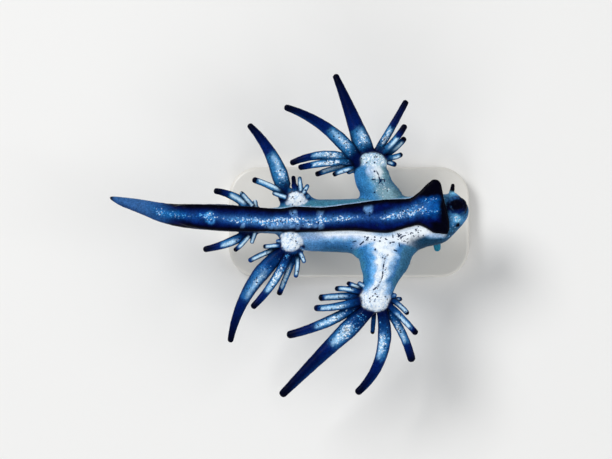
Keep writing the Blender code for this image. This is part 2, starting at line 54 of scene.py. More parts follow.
# The animal's outlines in plan are measured in the photo, and its heights are guessed.
body = {
    "rows": [  # station along X, right edge, left edge, height of the axis, half the depth
        (-23.50, 2.45, 2.30, 10.15, 0.06), (-23.20, 2.50, 2.05, 10.14, 0.24),
        (-22.50, 2.46, 1.62, 10.12, 0.36), (-21.50, 2.35, 1.20, 10.08, 0.50),
        (-20.00, 2.15, 0.59, 10.02, 0.70), (-18.60, 1.91, 0.00, 9.95, 0.84),
        (-16.60, 1.76, -0.49, 9.85, 0.98), (-12.70, 1.76, -0.88, 9.75, 1.12),
        (-8.60, 1.37, -1.08, 9.70, 1.16), (-6.85, 1.47, -1.30, 9.60, 1.30),
        (-5.67, 1.86, -2.05, 9.35, 1.55), (-4.70, 2.10, -2.72, 9.15, 1.80),
        (-0.50, 2.25, -3.00, 9.00, 2.00), (2.44, 2.35, -3.30, 9.00, 2.05),
        (5.50, 2.45, -3.10, 9.00, 2.00), (7.63, 2.70, -2.42, 9.00, 1.90),
        (9.40, 2.72, -1.91, 8.95, 1.68), (10.07, 2.95, -1.32, 8.92, 1.50),
        (10.75, 2.55, -0.60, 8.88, 1.20), (11.24, 2.02, -0.02, 8.85, 0.86),
        (11.54, 1.62, 0.48, 8.83, 0.48), (11.66, 1.25, 0.86, 8.82, 0.18),
    ],
    "step": 0.25,
    "sides": 40,
    "ledge": 0.36,        # the flank starts this far below the foot's face
    "ledgeSoft": 0.30,
}
foot = {
    "rows": [  # station along X, right edge, left edge, height of its face, thickness
        (-18.25, 0.98, 0.70, 10.70, 0.50), (-17.10, 1.50, 0.10, 10.82, 0.52),
        (-15.60, 1.72, -0.45, 10.88, 0.58), (-10.75, 1.58, -0.88, 10.95, 0.62),
        (-6.85, 1.32, -0.94, 11.00, 0.65), (-5.28, 1.52, -0.98, 11.05, 0.70),
        (-3.10, 1.42, -0.93, 11.10, 0.75), (0.00, 1.76, -0.83, 11.15, 0.80),
        (3.42, 2.20, -1.05, 11.15, 0.80), (5.70, 2.30, -0.52, 11.15, 0.80),
        (6.65, 2.88, -0.32, 11.15, 0.78), (7.45, 3.65, -0.60, 11.15, 0.76),
        (8.20, 4.15, -1.05, 11.12, 0.74), (8.80, 3.85, -1.12, 11.08, 0.72),
        (9.15, 2.35, -1.20, 11.05, 0.70), (9.45, 1.10, -1.20, 11.00, 0.66),
        (9.68, 0.10, -0.80, 10.95, 0.55),
    ],
    "step": 0.25,
    "sides": 48,
    "squareness": 0.55,   # 1 is an ellipse in section, less is closer to a plate
    "blend": 0.06,        # how softly it meets the flank
    "tailBlend": 0.30,    # and where it runs out into the tail
    "midline": [  # x, y, half width and strength of the silver down the sole
        (-19.60, 1.50, 0.35, 0.10), (-18.80, 1.02, 0.35, 0.40), (-18.00, 0.80, 0.40, 0.30),
        (-16.60, 0.72, 0.45, 0.34), (-15.60, 0.60, 0.40, 0.44), (-14.67, 0.58, 0.40, 0.50),
        (-13.60, 0.54, 0.45, 0.50), (-12.30, 0.34, 0.38, 0.55), (-10.75, 0.24, 0.42, 0.90),
        (-9.80, 0.16, 0.44, 0.85), (-8.40, 0.07, 0.44, 0.85), (-6.84, 0.18, 0.40, 0.98),
        (-4.90, 0.18, 0.38, 0.85), (-2.90, 0.22, 0.40, 0.92), (-0.98, 0.34, 0.40, 0.85),
        (0.98, 0.44, 0.38, 0.45), (2.60, 0.40, 0.40, 0.28), (3.60, 0.50, 0.46, 0.70),
        (4.89, 0.78, 0.50, 1.00), (5.90, 1.00, 0.56, 1.00), (6.50, 1.15, 0.60, 0.85),
        (7.20, 1.38, 0.62, 0.50), (7.80, 1.62, 0.50, 0.15), (8.80, 1.65, 0.50, 0.0),
    ],
    "patches": [  # x, y, half length, half width, turn in degrees of the lavender patches
        (-5.43, 0.85, 0.30, 0.72, 34), (-5.10, -0.25, 0.24, 0.55, 0), (-2.95, 0.95, 0.34, 0.62, 0),
        (-2.85, -0.40, 0.34, 0.42, 0), (1.75, 1.25, 0.44, 0.50, 10), (-6.70, -0.38, 1.60, 0.34, 0),
        (-10.50, -0.45, 0.20, 0.52, -28), (-13.65, 0.42, 0.50, 0.62, 20),
        (-3.90, -0.35, 0.9, 0.25, 0),
    ],
}
arms = {  # X, Y, height, half width, half depth, from inside the trunk to the pad
    "front_left": [
        (3.32, -1.50, 9.30, 3.90, 1.20), (3.32, -2.54, 9.50, 3.30, 1.40),
        (3.32, -3.52, 9.75, 2.70, 1.45), (3.13, -4.69, 10.05, 2.15, 1.38),
        (2.93, -5.67, 10.30, 1.70, 1.25), (2.64, -6.75, 10.50, 1.50, 1.10),
        (2.44, -7.60, 10.60, 1.30, 0.95),
    ],
    "front_right": [
        (3.23, 0.70, 8.55, 2.75, 1.15), (2.98, 2.25, 8.72, 2.20, 1.22),
        (2.52, 3.52, 8.95, 1.70, 1.25), (2.20, 4.30, 9.08, 1.72, 1.18),
        (2.05, 5.08, 9.20, 1.62, 1.05), (2.05, 5.87, 9.30, 1.30, 0.88),
    ],
    "middle_left": [
        (-5.40, -1.20, 9.20, 1.60, 0.80), (-5.65, -1.90, 9.90, 1.30, 0.80),
        (-5.80, -2.55, 10.20, 1.05, 0.70),
    ],
    "middle_right": [
        (-4.95, 1.10, 9.10, 1.90, 0.80), (-5.25, 1.80, 9.28, 1.62, 0.78),
        (-5.60, 2.50, 9.40, 1.38, 0.68), (-5.90, 3.10, 9.45, 1.10, 0.55),
    ],
    "rear_left": [
        (-9.85, -0.50, 9.25, 1.05, 0.46), (-10.00, -1.05, 9.22, 0.85, 0.40),
        (-10.10, -1.30, 9.20, 0.60, 0.34),
    ],
    "rear_right": [
        (-9.85, 0.90, 9.25, 1.05, 0.46), (-10.00, 1.50, 9.20, 0.85, 0.40),
        (-10.10, 1.75, 9.20, 0.60, 0.34),
    ],
}
armSkin = {"points": 26, "sides": 28, "blend": 0.55}
padShape = {"blend": 0.25, "lobes": ((3, 0.010), (5, 0.012))}  # lobes: how many, and how deep
feelerShape = {"points": 9, "blend": 0.16}
ball = {"sides": 32, "rings": 19, "tilt": 0.49}  # tilt is how near its poles go, in half turns
cerasShape = {
    "depth": 0.86,        # depth of a ceras for each unit of its width
    "rootInside": 0.55,   # how far it starts inside its pad
    "rootLower": 0.25,
    "riseCurve": 1.5,
    "layer": 0.42,        # height between two layers of one fan
    "step": 0.34,
    "fineSteps": 160,
    "tipRings": 7,
    "tipTurn": 0.94,      # the share of the round end that is drawn before its cap
    "sides": 20,
    "blend": 0.10,        # how softly neighbours run together at their roots
}


def ceras(rim, heading, bend, length, width, reach=None, tip=None, root=None, swell=0.3,
          taper=1.0, layer=0.0, rise=0.0, stripe=(0.42, 0.80), side=0.0, shine=1.0):
    # Angles in degrees from +X: rim is where it leaves the pad, heading its first direction and
    # bend what it turns by its tip. stripe is the stretch of its length that shines silver, side
    # how far that lies to its left (1 is the edge), and shine how bright it is.
    return {
        "rim": math.radians(rim), "heading": math.radians(heading), "bend": math.radians(bend),
        "length": length, "width": width, "reach": reach, "tip": tip or 0.84 * width,
        "root": root or 0.9 * width, "swell": swell, "taper": taper, "layer": layer, "rise": rise,
        "stripe": stripe, "side": side, "shine": shine,
    }


fans = {
    "front_left": {
        "pad": (2.44, -7.53, 10.62), "padSize": (1.42, 1.22, 0.85), "reach": 1.36,
        "cerata": [
            ceras(125, 146, 0, 1.2, 0.50, reach=1.2, layer=0.8),
            ceras(138, 158, 0, 1.9, 0.52, layer=0.3, rise=0.3),
            ceras(152, 163, 19, 2.7, 0.62, reach=1.45, layer=0.6, rise=0.2, stripe=(0.44, 0.86)),
            ceras(168, 179, 7, 4.2, 0.80, tip=0.64, layer=-0.3, rise=-0.4, stripe=(0.44, 0.83)),
            ceras(184, 200, -21, 4.7, 0.86, tip=0.62, layer=0.9, rise=0.3, stripe=(0.44, 0.87),
                  side=0.12),
            ceras(197, 214, -21, 7.9, 1.06, reach=1.48, tip=0.74, swell=0.5, layer=-0.5,
                  rise=-0.6, stripe=(0.31, 0.61), shine=0.9),
            ceras(238, 223, 3, 11.9, 1.82, tip=0.76, root=1.30, swell=0.24, taper=0.85,
                  layer=0.3, rise=-0.8, stripe=(0.22, 0.385), side=-0.05),
            ceras(266, 266, 0, 2.1, 0.50, layer=-1.1, rise=-0.6, shine=0.0),
            ceras(297, 284, -64, 8.7, 1.34, reach=1.56, tip=0.70, root=1.05, swell=0.28,
                  layer=0.2, rise=-0.5, stripe=(0.27, 0.51), side=-0.35, shine=0.8),
            ceras(326, 310, -27, 6.3, 0.86, reach=1.07, tip=0.80, layer=-1.0, rise=-0.8,
                  stripe=(0.38, 0.67), side=-0.2, shine=0.85),
            ceras(341, 317, -6, 4.2, 0.70, reach=1.24, layer=0.6, rise=0.3, stripe=(0.42, 0.77),
                  side=-0.25),
            ceras(4, 332, -24, 2.5, 0.58, layer=0.2, rise=-0.2, stripe=(0.49, 0.86)),
            ceras(356, 5, 0, 1.3, 0.50, layer=-0.4, stripe=(0.50, 0.75), shine=0.6),
            ceras(9, 16, 0, 0.8, 0.50, layer=0.6, shine=0.4),
        ],
    },
    "front_right": {
        "pad": (2.15, 5.96, 9.38), "padSize": (1.36, 0.84, 0.72), "reach": 1.40,
        "cerata": [
            ceras(128, 109, 4, 8.3, 1.95, reach=1.02, tip=0.60, root=1.9, swell=0.14,
                  taper=0.85, layer=-0.6, rise=-0.6, stripe=(0.12, 0.28), side=-0.3, shine=0.7),
            ceras(168, 126, 37, 8.7, 1.44, reach=1.65, tip=0.60, root=1.25, swell=0.28,
                  taper=0.85, layer=0.7, rise=0.2, stripe=(0.16, 0.41), side=-0.15, shine=0.68),
            ceras(180, 158, 48, 6.8, 0.92, tip=0.56, swell=0.5, layer=-0.6, rise=-0.4,
                  stripe=(0.33, 0.64), side=-0.15),
            ceras(183, 178, 16, 5.6, 0.74, reach=1.66, tip=0.56, swell=0.6, layer=0.7,
                  rise=0.4, stripe=(0.38, 0.75), shine=1.2),
            ceras(195, 182, 22, 4.0, 0.64, reach=1.74, layer=-0.9, rise=-0.4, stripe=(0.34, 0.80),
                  side=-0.2, shine=1.1),
            ceras(205, 184, 26, 2.6, 0.58, reach=1.52, layer=0.4, rise=0.2, stripe=(0.38, 0.80),
                  side=0.1, shine=1.1),
            ceras(205, 207, 0, 1.2, 0.50, reach=1.5, layer=0.4, shine=0.7),
            ceras(215, 225, 0, 0.8, 0.50, reach=1.2, layer=0.2, shine=0.3),
            ceras(61, 58, 4, 5.9, 0.82, reach=1.01, tip=0.60, layer=-0.9, rise=-0.6,
                  stripe=(0.22, 0.46)),
            ceras(38, 40, 20, 3.8, 0.72, reach=1.11, layer=0.4, rise=0.3, stripe=(0.36, 0.60),
                  side=-0.2),
            ceras(25, 30, 22, 2.7, 0.68, layer=-0.9, rise=-0.2, stripe=(0.42, 0.75), side=-0.3,
                  shine=0.75),
            ceras(12, 1, 27, 1.7, 0.58, layer=0.4, stripe=(0.42, 0.75), side=-0.3, shine=0.75),
            ceras(0, 340, 0, 1.1, 0.60, layer=-0.6, stripe=(0.28, 0.6), shine=0.75),
        ],
    },
    "middle_left": {
        "pad": (-5.77, -1.96, 10.42), "padSize": (0.92, 0.90, 0.60), "reach": 0.98,
        "cerata": [
            ceras(180, 172, 0, 0.8, 0.50, reach=0.7, layer=0.4, shine=0.5),
            ceras(198, 185, 0, 1.8, 0.50, layer=0.5, rise=0.2, stripe=(0.30, 0.85), shine=1.1),
            ceras(209, 197, 12, 3.6, 0.60, layer=-0.6, rise=-0.3, stripe=(0.42, 0.88), side=0.15,
                  shine=0.9),
            ceras(232, 218, 43, 10.6, 1.62, reach=1.15, tip=0.56, root=1.15, swell=0.30,
                  taper=0.9, layer=-0.4, rise=-0.9, stripe=(0.27, 0.56), side=0.25, shine=0.58),
            ceras(262, 250, -26, 6.9, 0.88, reach=0.70, tip=0.62, swell=0.5, layer=0.3,
                  rise=0.1, stripe=(0.38, 0.68), shine=1.1),
            ceras(294, 248, 0, 4.5, 0.66, reach=1.15, layer=-0.8, rise=-0.6, stripe=(0.39, 0.82),
                  side=-0.15),
            ceras(304, 280, -25, 2.7, 0.56, layer=0.3, rise=0.1, stripe=(0.45, 0.89), shine=1.1),
            ceras(315, 299, -11, 1.4, 0.50, reach=1.1, layer=0.6, stripe=(0.33, 0.87), shine=1.1),
            ceras(324, 329, 0, 0.7, 0.50, reach=0.85, layer=0.5, shine=0.6),
        ],
    },
    "middle_right": {
        "pad": (-5.28, 2.25, 9.85), "padSize": (0.84, 0.68, 0.52), "reach": 0.82,
        "cerata": [
            ceras(148, 101, 34, 7.6, 1.66, reach=1.35, tip=0.58, root=1.4, swell=0.26,
                  taper=0.9, layer=-0.5, rise=-0.5, stripe=(0.17, 0.50), side=-0.2, shine=0.62),
            ceras(164, 145, 18, 3.9, 0.68, tip=0.60, layer=0.2, rise=0.2, stripe=(0.36, 0.84),
                  side=-0.35),
            ceras(175, 160, 0, 1.6, 0.50, layer=0.9, stripe=(0.10, 0.82), side=-0.15),
            ceras(99, 96, 0, 1.7, 0.50, reach=0.6, layer=0.5, rise=0.2, stripe=(0.0, 0.1), shine=0.0),
            ceras(50, 97, 0, 1.6, 0.50, layer=0.2, stripe=(0.12, 0.88), side=0.15),
            ceras(36, 60, 0, 1.1, 0.50, layer=0.4, stripe=(0.15, 0.80)),
            ceras(10, 20, 0, 0.5, 0.50, layer=0.2, shine=0.4),
        ],
    },
    "rear_left": {
        "pad": (-9.58, -0.59, 9.62), "padSize": None, "reach": 0.60,
        "cerata": [
            ceras(224, 210, -21, 4.4, 0.95, reach=0.93, tip=0.56, rise=-0.2, stripe=(0.27, 0.57),
                  side=0.2, shine=0.9),
            ceras(248, 238, -21, 2.3, 0.54, layer=0.4, rise=0.2, stripe=(0.08, 0.76), side=0.2),
            ceras(307, 252, 0, 1.2, 0.50, reach=0.5, layer=0.3, rise=0.1, stripe=(0.12, 0.88)),
        ],
    },
    "rear_right": {
        "pad": (-9.58, 0.98, 9.60), "padSize": None, "reach": 0.55,
        "cerata": [
            ceras(122, 136, 38, 3.9, 0.90, tip=0.56, rise=-0.2, stripe=(0.16, 0.57), shine=0.85),
            ceras(79, 131, 0, 1.9, 0.54, layer=0.4, rise=0.2, stripe=(0.05, 0.84), shine=1.2),
            ceras(45, 98, 0, 0.8, 0.50, layer=0.3, rise=0.1, stripe=(0.10, 0.86)),
        ],
    },
}
feelers = {  # root, tip, root diameter, tip diameter
    "oral_tentacle_left": ((10.25, 0.00, 9.30), (10.62, -0.38, 10.20), 0.56, 0.32),
    "oral_tentacle_right": ((9.90, 2.40, 9.20), (10.10, 3.74, 9.55), 0.62, 0.34),
    "rhinophore_left": ((8.50, -1.60, 8.05), (8.65, -2.84, 7.45), 0.86, 0.62),
    "rhinophore_right": ((8.50, 1.90, 8.00), (8.60, 3.10, 7.35), 0.86, 0.62),
}
mouth = {
    "place": (10.50, 1.55, 9.78),
    "size": (0.95, 0.92, 0.55),
    "opening": (-0.10, 0.12),       # its middle, from the lip's own middle
    "funnel": (0.74, 0.70, 0.42),   # what narrows into the head
    "throat": (0.24, 0.20, 0.72),
    "darkPlace": (10.55, 1.57),     # the middle of its dark colours
    "folds": 13,
    "foldDepth": 0.06,
    "blend": 0.12,
    "rimSoft": 0.10,
    "reach": 2.0,                   # it changes nothing farther back than this
    "fineRadius": 1.5,              # the mesh is halved this far round it
    "fineAbove": 9.3,
    "paintRadius": 1.3,
}
skin = {
    "voxel": 0.114,       # keeps the skin below 200,000 triangles
    "quickVoxel": 0.16,
    "shrink": 0.03,       # the rough tubes are made this much thinner, so that gaps stay open
    "mostMove": 0.20,     # from where the remesh put a point
    "leastSlope": 0.2,    # squared, so that no step is wild where two parts run together
    "padBlend": 0.50,     # how softly a pad runs into the arm below it
    "fanBlend": 0.18,     # and its fan into the body
    "rounds": (3, 2),     # how often it settles, and how often it is then evened out
    "evenShare": 0.5,     # how far a point then moves towards the middle of its neighbours
    "margin": 0.3,        # a part is looked at this far round it
    "coreFrom": -4.6,     # trunk and foot lie between these two, from side to side
    "coreTo": 4.9,
    "relief": (0.0088, 0.0572),  # height of the flesh's lumps, and what grainy skin adds to it
    "lumps": (2.1, 4.7),  # large and small ones for each millimetre
    "creaseLine": (       # down the front left arm
        (3.73, -3.15), (3.36, -3.56), (3.22, -4.47), (3.14, -5.34), (2.78, -6.20), (2.27, -6.60),
    ),
    "creaseDepth": 0.10,
    "creaseWidth": 0.08,
    "creaseAbove": (9.6, 10.2),
    "darkLines": (        # short dark squiggles on the front right arm and on the shoulder
        ((2.59, 4.99), (2.79, 4.55)), ((2.84, 4.40), (2.93, 4.01), (3.18, 3.72)),
        ((2.74, 3.72), (3.03, 4.01)), ((2.93, 4.13), (3.42, 4.13), (3.37, 3.96)),
        ((2.15, 4.16), (2.49, 4.16)), ((4.60, -1.12), (4.79, -1.34), (4.99, -1.22)),
        ((4.94, -1.56), (5.08, -1.42), (5.43, -1.32)), ((4.16, -1.27), (4.20, -1.52)),
        ((4.06, -1.96), (4.30, -1.96)), ((4.79, -2.05), (4.84, -2.40)),
        ((4.30, -2.74), (4.55, -2.84)), ((0.24, -1.96), (0.59, -1.86)),
        ((0.98, -2.20), (1.32, -1.91)), ((1.56, -1.81), (1.81, -1.47)),
        ((2.40, -2.74), (2.49, -2.64)),
    ),
}


def linear(hexCode):
    # an sRGB hex colour as the linear values that shaders take
    parts = [int(hexCode[k:k + 2], 16) / 255 for k in (1, 3, 5)]
    return np.array([c / 12.92 if c <= 0.04045 else ((c + 0.055) / 1.055) ** 2.4 for c in parts])


def opaque(hexCode):
    return (*linear(hexCode), 1)


def readTable(rows, at):
    # rows read from a table at the given places, on a curve through them that never overshoots
    rows = np.asarray(rows, float)
    x, values = rows[:, 0], rows[:, 1:]
    step = np.diff(x)[:, None]
    slope = np.diff(values, axis=0) / step
    tangent = np.vstack([slope[:1], (slope[:-1] + slope[1:]) / 2, slope[-1:]])
    tangent[1:-1] = np.where(slope[:-1] * slope[1:] > 0, tangent[1:-1], 0.0)
    before, after = np.vstack([slope[:1], slope]), np.vstack([slope, slope[-1:]])
    limit = 3.0 * np.minimum(np.abs(before), np.abs(after))
    tangent = np.clip(tangent, -limit, limit)
    at = np.clip(at, x[0], x[-1])
    i = np.clip(np.searchsorted(x, at) - 1, 0, len(x) - 2)
    h = step[i]
    t = ((at - x[i]) / h[:, 0])[:, None]
    return (
        values[i] * (1 + 2 * t) * (1 - t) ** 2 + tangent[i] * h * t * (1 - t) ** 2
        + values[i + 1] * t * t * (3 - 2 * t) + tangent[i + 1] * h * t * t * (t - 1)
    )


def ease(low, high, value):
    # 0 below low, 1 above high and a smooth step between them
    t = np.clip((value - low) / (high - low), 0.0, 1.0)
    return t * t * (3 - 2 * t)


def mix(a, b, share):
    return a + (b - a) * np.asarray(share)[..., None]


def softMin(a, b, k):
    h = np.maximum(k - np.abs(a - b), 0.0) / k
    return np.minimum(a, b) - h * h * k / 4


def softMax(a, b, k):
    return -softMin(-a, -b, k)


# Rough closed shapes, which the remesh joins into one.

def roundTurn(sides):
    return np.arange(sides) * 2 * math.pi / sides


def loft(rings):
    count = len(rings[0])
    points = np.concatenate([np.asarray(ring, float) for ring in rings])
    faces = []
    for r in range(len(rings) - 1):
        for k in range(count):
            a, b = r * count + k, r * count + (k + 1) % count
            faces.append((a, b, b + count, a + count))
    last = (len(rings) - 1) * count
    faces.append(tuple(range(count))[::-1])
    faces.append(tuple(range(last, last + count)))
    return points, faces


def bodyTop(x):
    # how high the flank reaches beside the foot, with no limit past the foot's two ends
    face = readTable(foot["rows"], x)[:, 2]
    start, end = foot["rows"][0][0], foot["rows"][-1][0]
    outside = ease(start + 4.0, start + 0.5, x) + ease(end - 0.3, end + 0.5, x)
    return face - body["ledge"] + 3.0 * outside


def bodyRings():
    places = np.arange(body["rows"][0][0], body["rows"][-1][0] + 1e-6, body["step"])
    places = np.unique(np.append(places, [body["rows"][-1][0], body["rows"][-2][0]]))
    angles = roundTurn(body["sides"])
    tops = bodyTop(places)
    rings = []
    for x, top, (right, left, axis, deep) in zip(places, tops, readTable(body["rows"], places)):
        y = (right + left) / 2 + (right - left) / 2 * np.cos(angles)
        z = np.minimum(axis + deep * np.sin(angles), top)
        rings.append(np.column_stack([np.full_like(y, x), y, z]))
    return rings


def squared(value):
    return np.sign(value) * np.abs(value) ** foot["squareness"]


def footRings():
    places = np.arange(foot["rows"][0][0], foot["rows"][-1][0] + 1e-6, foot["step"])
    places = np.append(places, foot["rows"][-1][0])
    angles = roundTurn(foot["sides"])
    rings = []
    for x, (right, left, face, thick) in zip(places, readTable(foot["rows"], places)):
        y = (right + left) / 2 + (right - left) / 2 * squared(np.cos(angles))
        z = face - thick / 2 + thick / 2 * squared(np.sin(angles))
        rings.append(np.column_stack([np.full_like(y, x), y, z]))
    return rings


def armPath(rows):
    share = np.linspace(0.0, 1.0, len(rows))
    return readTable(np.column_stack([share, rows]), np.linspace(0.0, 1.0, armSkin["points"]))


def sideAndUp(line):
    along = np.gradient(line, axis=0)
    along /= np.linalg.norm(along, axis=1)[:, None]
    side = np.cross((0.0, 0.0, 1.0), along)
    side /= np.linalg.norm(side, axis=1)[:, None]
    return side, np.cross(along, side)


def armRings(path):
    angles = roundTurn(armSkin["sides"])
    side, up = sideAndUp(path[:, :3])
    return [
        row[:3] + s * row[3] * np.cos(angles)[:, None] + u * row[4] * np.sin(angles)[:, None]
        for row, s, u in zip(path, side, up)
    ]


def ellipsoidRings(place, size):
    angles = roundTurn(ball["sides"])
    rings = []
    for tilt in np.linspace(-ball["tilt"], ball["tilt"], ball["rings"]) * math.pi:
        x = place[0] + size[0] * math.cos(tilt) * np.cos(angles)
        y = place[1] + size[1] * math.cos(tilt) * np.sin(angles)
        rings.append(np.column_stack([x, y, np.full_like(x, place[2] + size[2] * math.sin(tilt))]))
    return rings


def cerasPath(fan, spec, places):
    # points along one ceras, at distances from where it leaves its pad
    length = spec["length"]
    fine = np.linspace(-cerasShape["rootInside"], length, cerasShape["fineSteps"])
    share = np.clip(fine / length, 0.0, 1.0)
    heading = spec["heading"] + spec["bend"] * share
    step = np.diff(fine)
    middle = (heading[1:] + heading[:-1]) / 2
    x = np.concatenate([[0.0], np.cumsum(np.cos(middle) * step)])
    y = np.concatenate([[0.0], np.cumsum(np.sin(middle) * step)])
    z = spec["rise"] * share ** cerasShape["riseCurve"]
    reach = spec["reach"] or fan["reach"]
    root = (
        fan["pad"][0] + reach * math.cos(spec["rim"]) - np.interp(0.0, fine, x),
        fan["pad"][1] + reach * math.sin(spec["rim"]) - np.interp(0.0, fine, y),
        fan["pad"][2] - cerasShape["rootLower"] + spec["layer"] * cerasShape["layer"],
    )
    columns = [np.interp(places, fine, way) + start for way, start in zip((x, y, z), root)]
    return np.column_stack(columns)


def cerasHalfWidth(spec, places):
    share = np.clip(places / spec["length"], 0.0, 1.0)
    rising = np.sin(np.clip(share / spec["swell"], 0, 1) * math.pi / 2)
    falling = np.clip((share - spec["swell"]) / (1 - spec["swell"]), 0, 1) ** spec["taper"]
    width = spec["root"] + (spec["width"] - spec["root"]) * rising
    return (width + (spec["tip"] - spec["width"]) * falling) / 2


def straightPath(root, tip, wide, narrow):
    # a feeler's path up to the middle of its round end
    root, tip = np.array(root), np.array(tip)
    length = np.linalg.norm(tip - root)
    share = np.linspace(0.0, 1.0 - narrow / 2 / length, feelerShape["points"])
    return root + (tip - root) * share[:, None], (wide + (narrow - wide) * share) / 2


def withRoundTip(line, half, depth):
    # adds the points of the round end, past the middle of its last stretch
    way = line[-1] - line[-2]
    way /= np.linalg.norm(way)
    turn = np.linspace(0.0, cerasShape["tipTurn"], cerasShape["tipRings"])[1:]
    tipLine = line[-1] + way * (half[-1] * depth * turn)[:, None]
    return np.vstack([line, tipLine]), np.append(half, half[-1] * np.sqrt(1 - turn ** 2))


def addNode(tree, kind, settings, links):
    # one node with its settings, and the sockets or values of its inputs
    node = tree.nodes.new(kind)
    for name, value in settings.items():
        setattr(node, name, value)
    for name, value in links.items():
        socket = node.inputs[name]
        if isinstance(value, bpy.types.NodeSocket):
            tree.links.new(value, socket)
        else:
            socket.default_value = value
    return node


def growTree(tree, rows, prefix=""):
    # Adds a node for each row of name, kind, settings and inputs. A text with a dot in the inputs
    # is an earlier row's name and its output.
    nodes = {}
    for name, kind, settings, inputs in rows:
        links = dict(enumerate(inputs)) if isinstance(inputs, list) else dict(inputs)
        for socket, value in links.items():
            if isinstance(value, str) and "." in value:
                source, output = value.split(".")
                links[socket] = nodes[source].outputs[int(output) if output.isdigit() else output]
        nodes[name] = addNode(tree, prefix + kind, settings, links)


def tubeTree():
    # sweeps each drawn line into a closed tube of the radius that the line carries
    tree = bpy.data.node_groups.new("cerataTubes", "GeometryNodeTree")
    for name, way, kind in (
            ("Geometry", "INPUT", "Geometry"), ("Sides", "INPUT", "Int"), ("Depth", "INPUT", "Float"),
            ("Skin", "INPUT", "Material"), ("Geometry", "OUTPUT", "Geometry")):
        tree.interface.new_socket(name, in_out=way, socket_type="NodeSocket" + kind)
    growTree(tree, [
        ("given", "NodeGroupInput", {}, {}),
        ("radius", "GeometryNodeInputNamedAttribute", {"data_type": "FLOAT"}, {"Name": "tubeRadius"}),
        ("line", "GeometryNodeMeshToCurve", {}, {"Mesh": "given.Geometry"}),
        ("level", "GeometryNodeSetCurveNormal", {"mode": "Z_UP"}, {"Curve": "line.0"}),
        ("circle", "GeometryNodeCurvePrimitiveCircle", {}, {"Resolution": "given.Sides", "Radius": 1.0}),
        ("flat", "ShaderNodeCombineXYZ", {}, {"X": "given.Depth", "Y": 1.0, "Z": 1.0}),
        ("oval", "GeometryNodeTransform", {}, {"Geometry": "circle.0", "Scale": "flat.0"}),
        ("tube", "GeometryNodeCurveToMesh", {}, {
            "Curve": "level.0", "Profile Curve": "oval.0", "Scale": "radius.0", "Fill Caps": True}),
        ("real", "GeometryNodeRealizeInstances", {}, {"Geometry": "tube.0"}),
        ("coat", "GeometryNodeSetMaterial", {}, {"Geometry": "real.0", "Material": "given.Skin"}),
        ("out", "NodeGroupOutput", {}, {"Geometry": "coat.0"}),
    ])
    return tree


def addObject(name, data):
    thing = bpy.data.objects.new(name, data)
    bpy.context.scene.collection.objects.link(thing)
    return thing


def newMesh(name, points, faces, edges=()):
    mesh = bpy.data.meshes.new(name)
    mesh.from_pydata(np.asarray(points).tolist(), edges, faces)
    mesh.update()
    return mesh


def evaluatedMesh(thing):
    bpy.context.view_layer.update()
    graph = bpy.context.evaluated_depsgraph_get()
    return bpy.data.meshes.new_from_object(thing.evaluated_get(graph))


def meshArrays(mesh):
    points = np.empty(len(mesh.vertices) * 3, np.float32)
    mesh.vertices.foreach_get("co", points)
    loops = np.empty(len(mesh.loops), np.int32)
    mesh.loops.foreach_get("vertex_index", loops)
    starts = np.empty(len(mesh.polygons), np.int32)
    mesh.polygons.foreach_get("loop_start", starts)
    faces = [tuple(part.tolist()) for part in np.split(loops, starts[1:])]
    return points.reshape(-1, 3).astype(float), faces


def sweepTubes(tubes, material):
    # every ceras and feeler in one go, through Geometry Nodes
    points, edges, radii = [], [], []
    for line, half in tubes:
        start = len(points)
        points += line.tolist()
        radii += half.tolist()
        edges += [(start + k, start + k + 1) for k in range(len(line) - 1)]
    mesh = newMesh("cerataLines", points, [], edges)
    mesh.attributes.new("tubeRadius", "FLOAT", "POINT").data.foreach_set("value", radii)
    lines = addObject("cerataLines", mesh)
    tree = tubeTree()
    modifier = lines.modifiers.new("tubes", "NODES")
    modifier.node_group = tree
    inputs = {item.name: item.identifier for item in tree.interface.items_tree if item.in_out == "INPUT"}
    modifier[inputs["Sides"]] = cerasShape["sides"]
    modifier[inputs["Depth"]] = cerasShape["depth"]
    modifier[inputs["Skin"]] = material
    tubesMesh = evaluatedMesh(lines)
    bpy.data.objects.remove(lines)
    return meshArrays(tubesMesh)


# Signed distances to each part's true surface, negative inside, for points in millimetres.

def sectionField(points, rows, power, asFoot=False):
    def measure(table, y, z):
        right, left, height, size = table.T
        deep = size / 2 if asFoot else size
        middle = height - size / 2 if asFoot else height
        u = np.abs(2 * y - right - left) / (right - left)
        v = np.abs(z - middle) / deep
        return (u ** power + v ** power + 1e-12) ** (1 / power)
    x, y, z = points.T
    here = readTable(rows, x)
    q = measure(here, y, z)
    slope = np.sqrt(
        (measure(readTable(rows, x + probe), y, z) - q) ** 2
        + (measure(here, y + probe, z) - q) ** 2
        + (measure(here, y, z + probe) - q) ** 2
    ) / probe
    leastSlope, endSoft = 0.15, 0.12
    value = (q - 1) / np.maximum(slope, leastSlope)
    ends = np.maximum(x - rows[-1][0], rows[0][0] - x)
    return softMax(value, ends, endSoft)


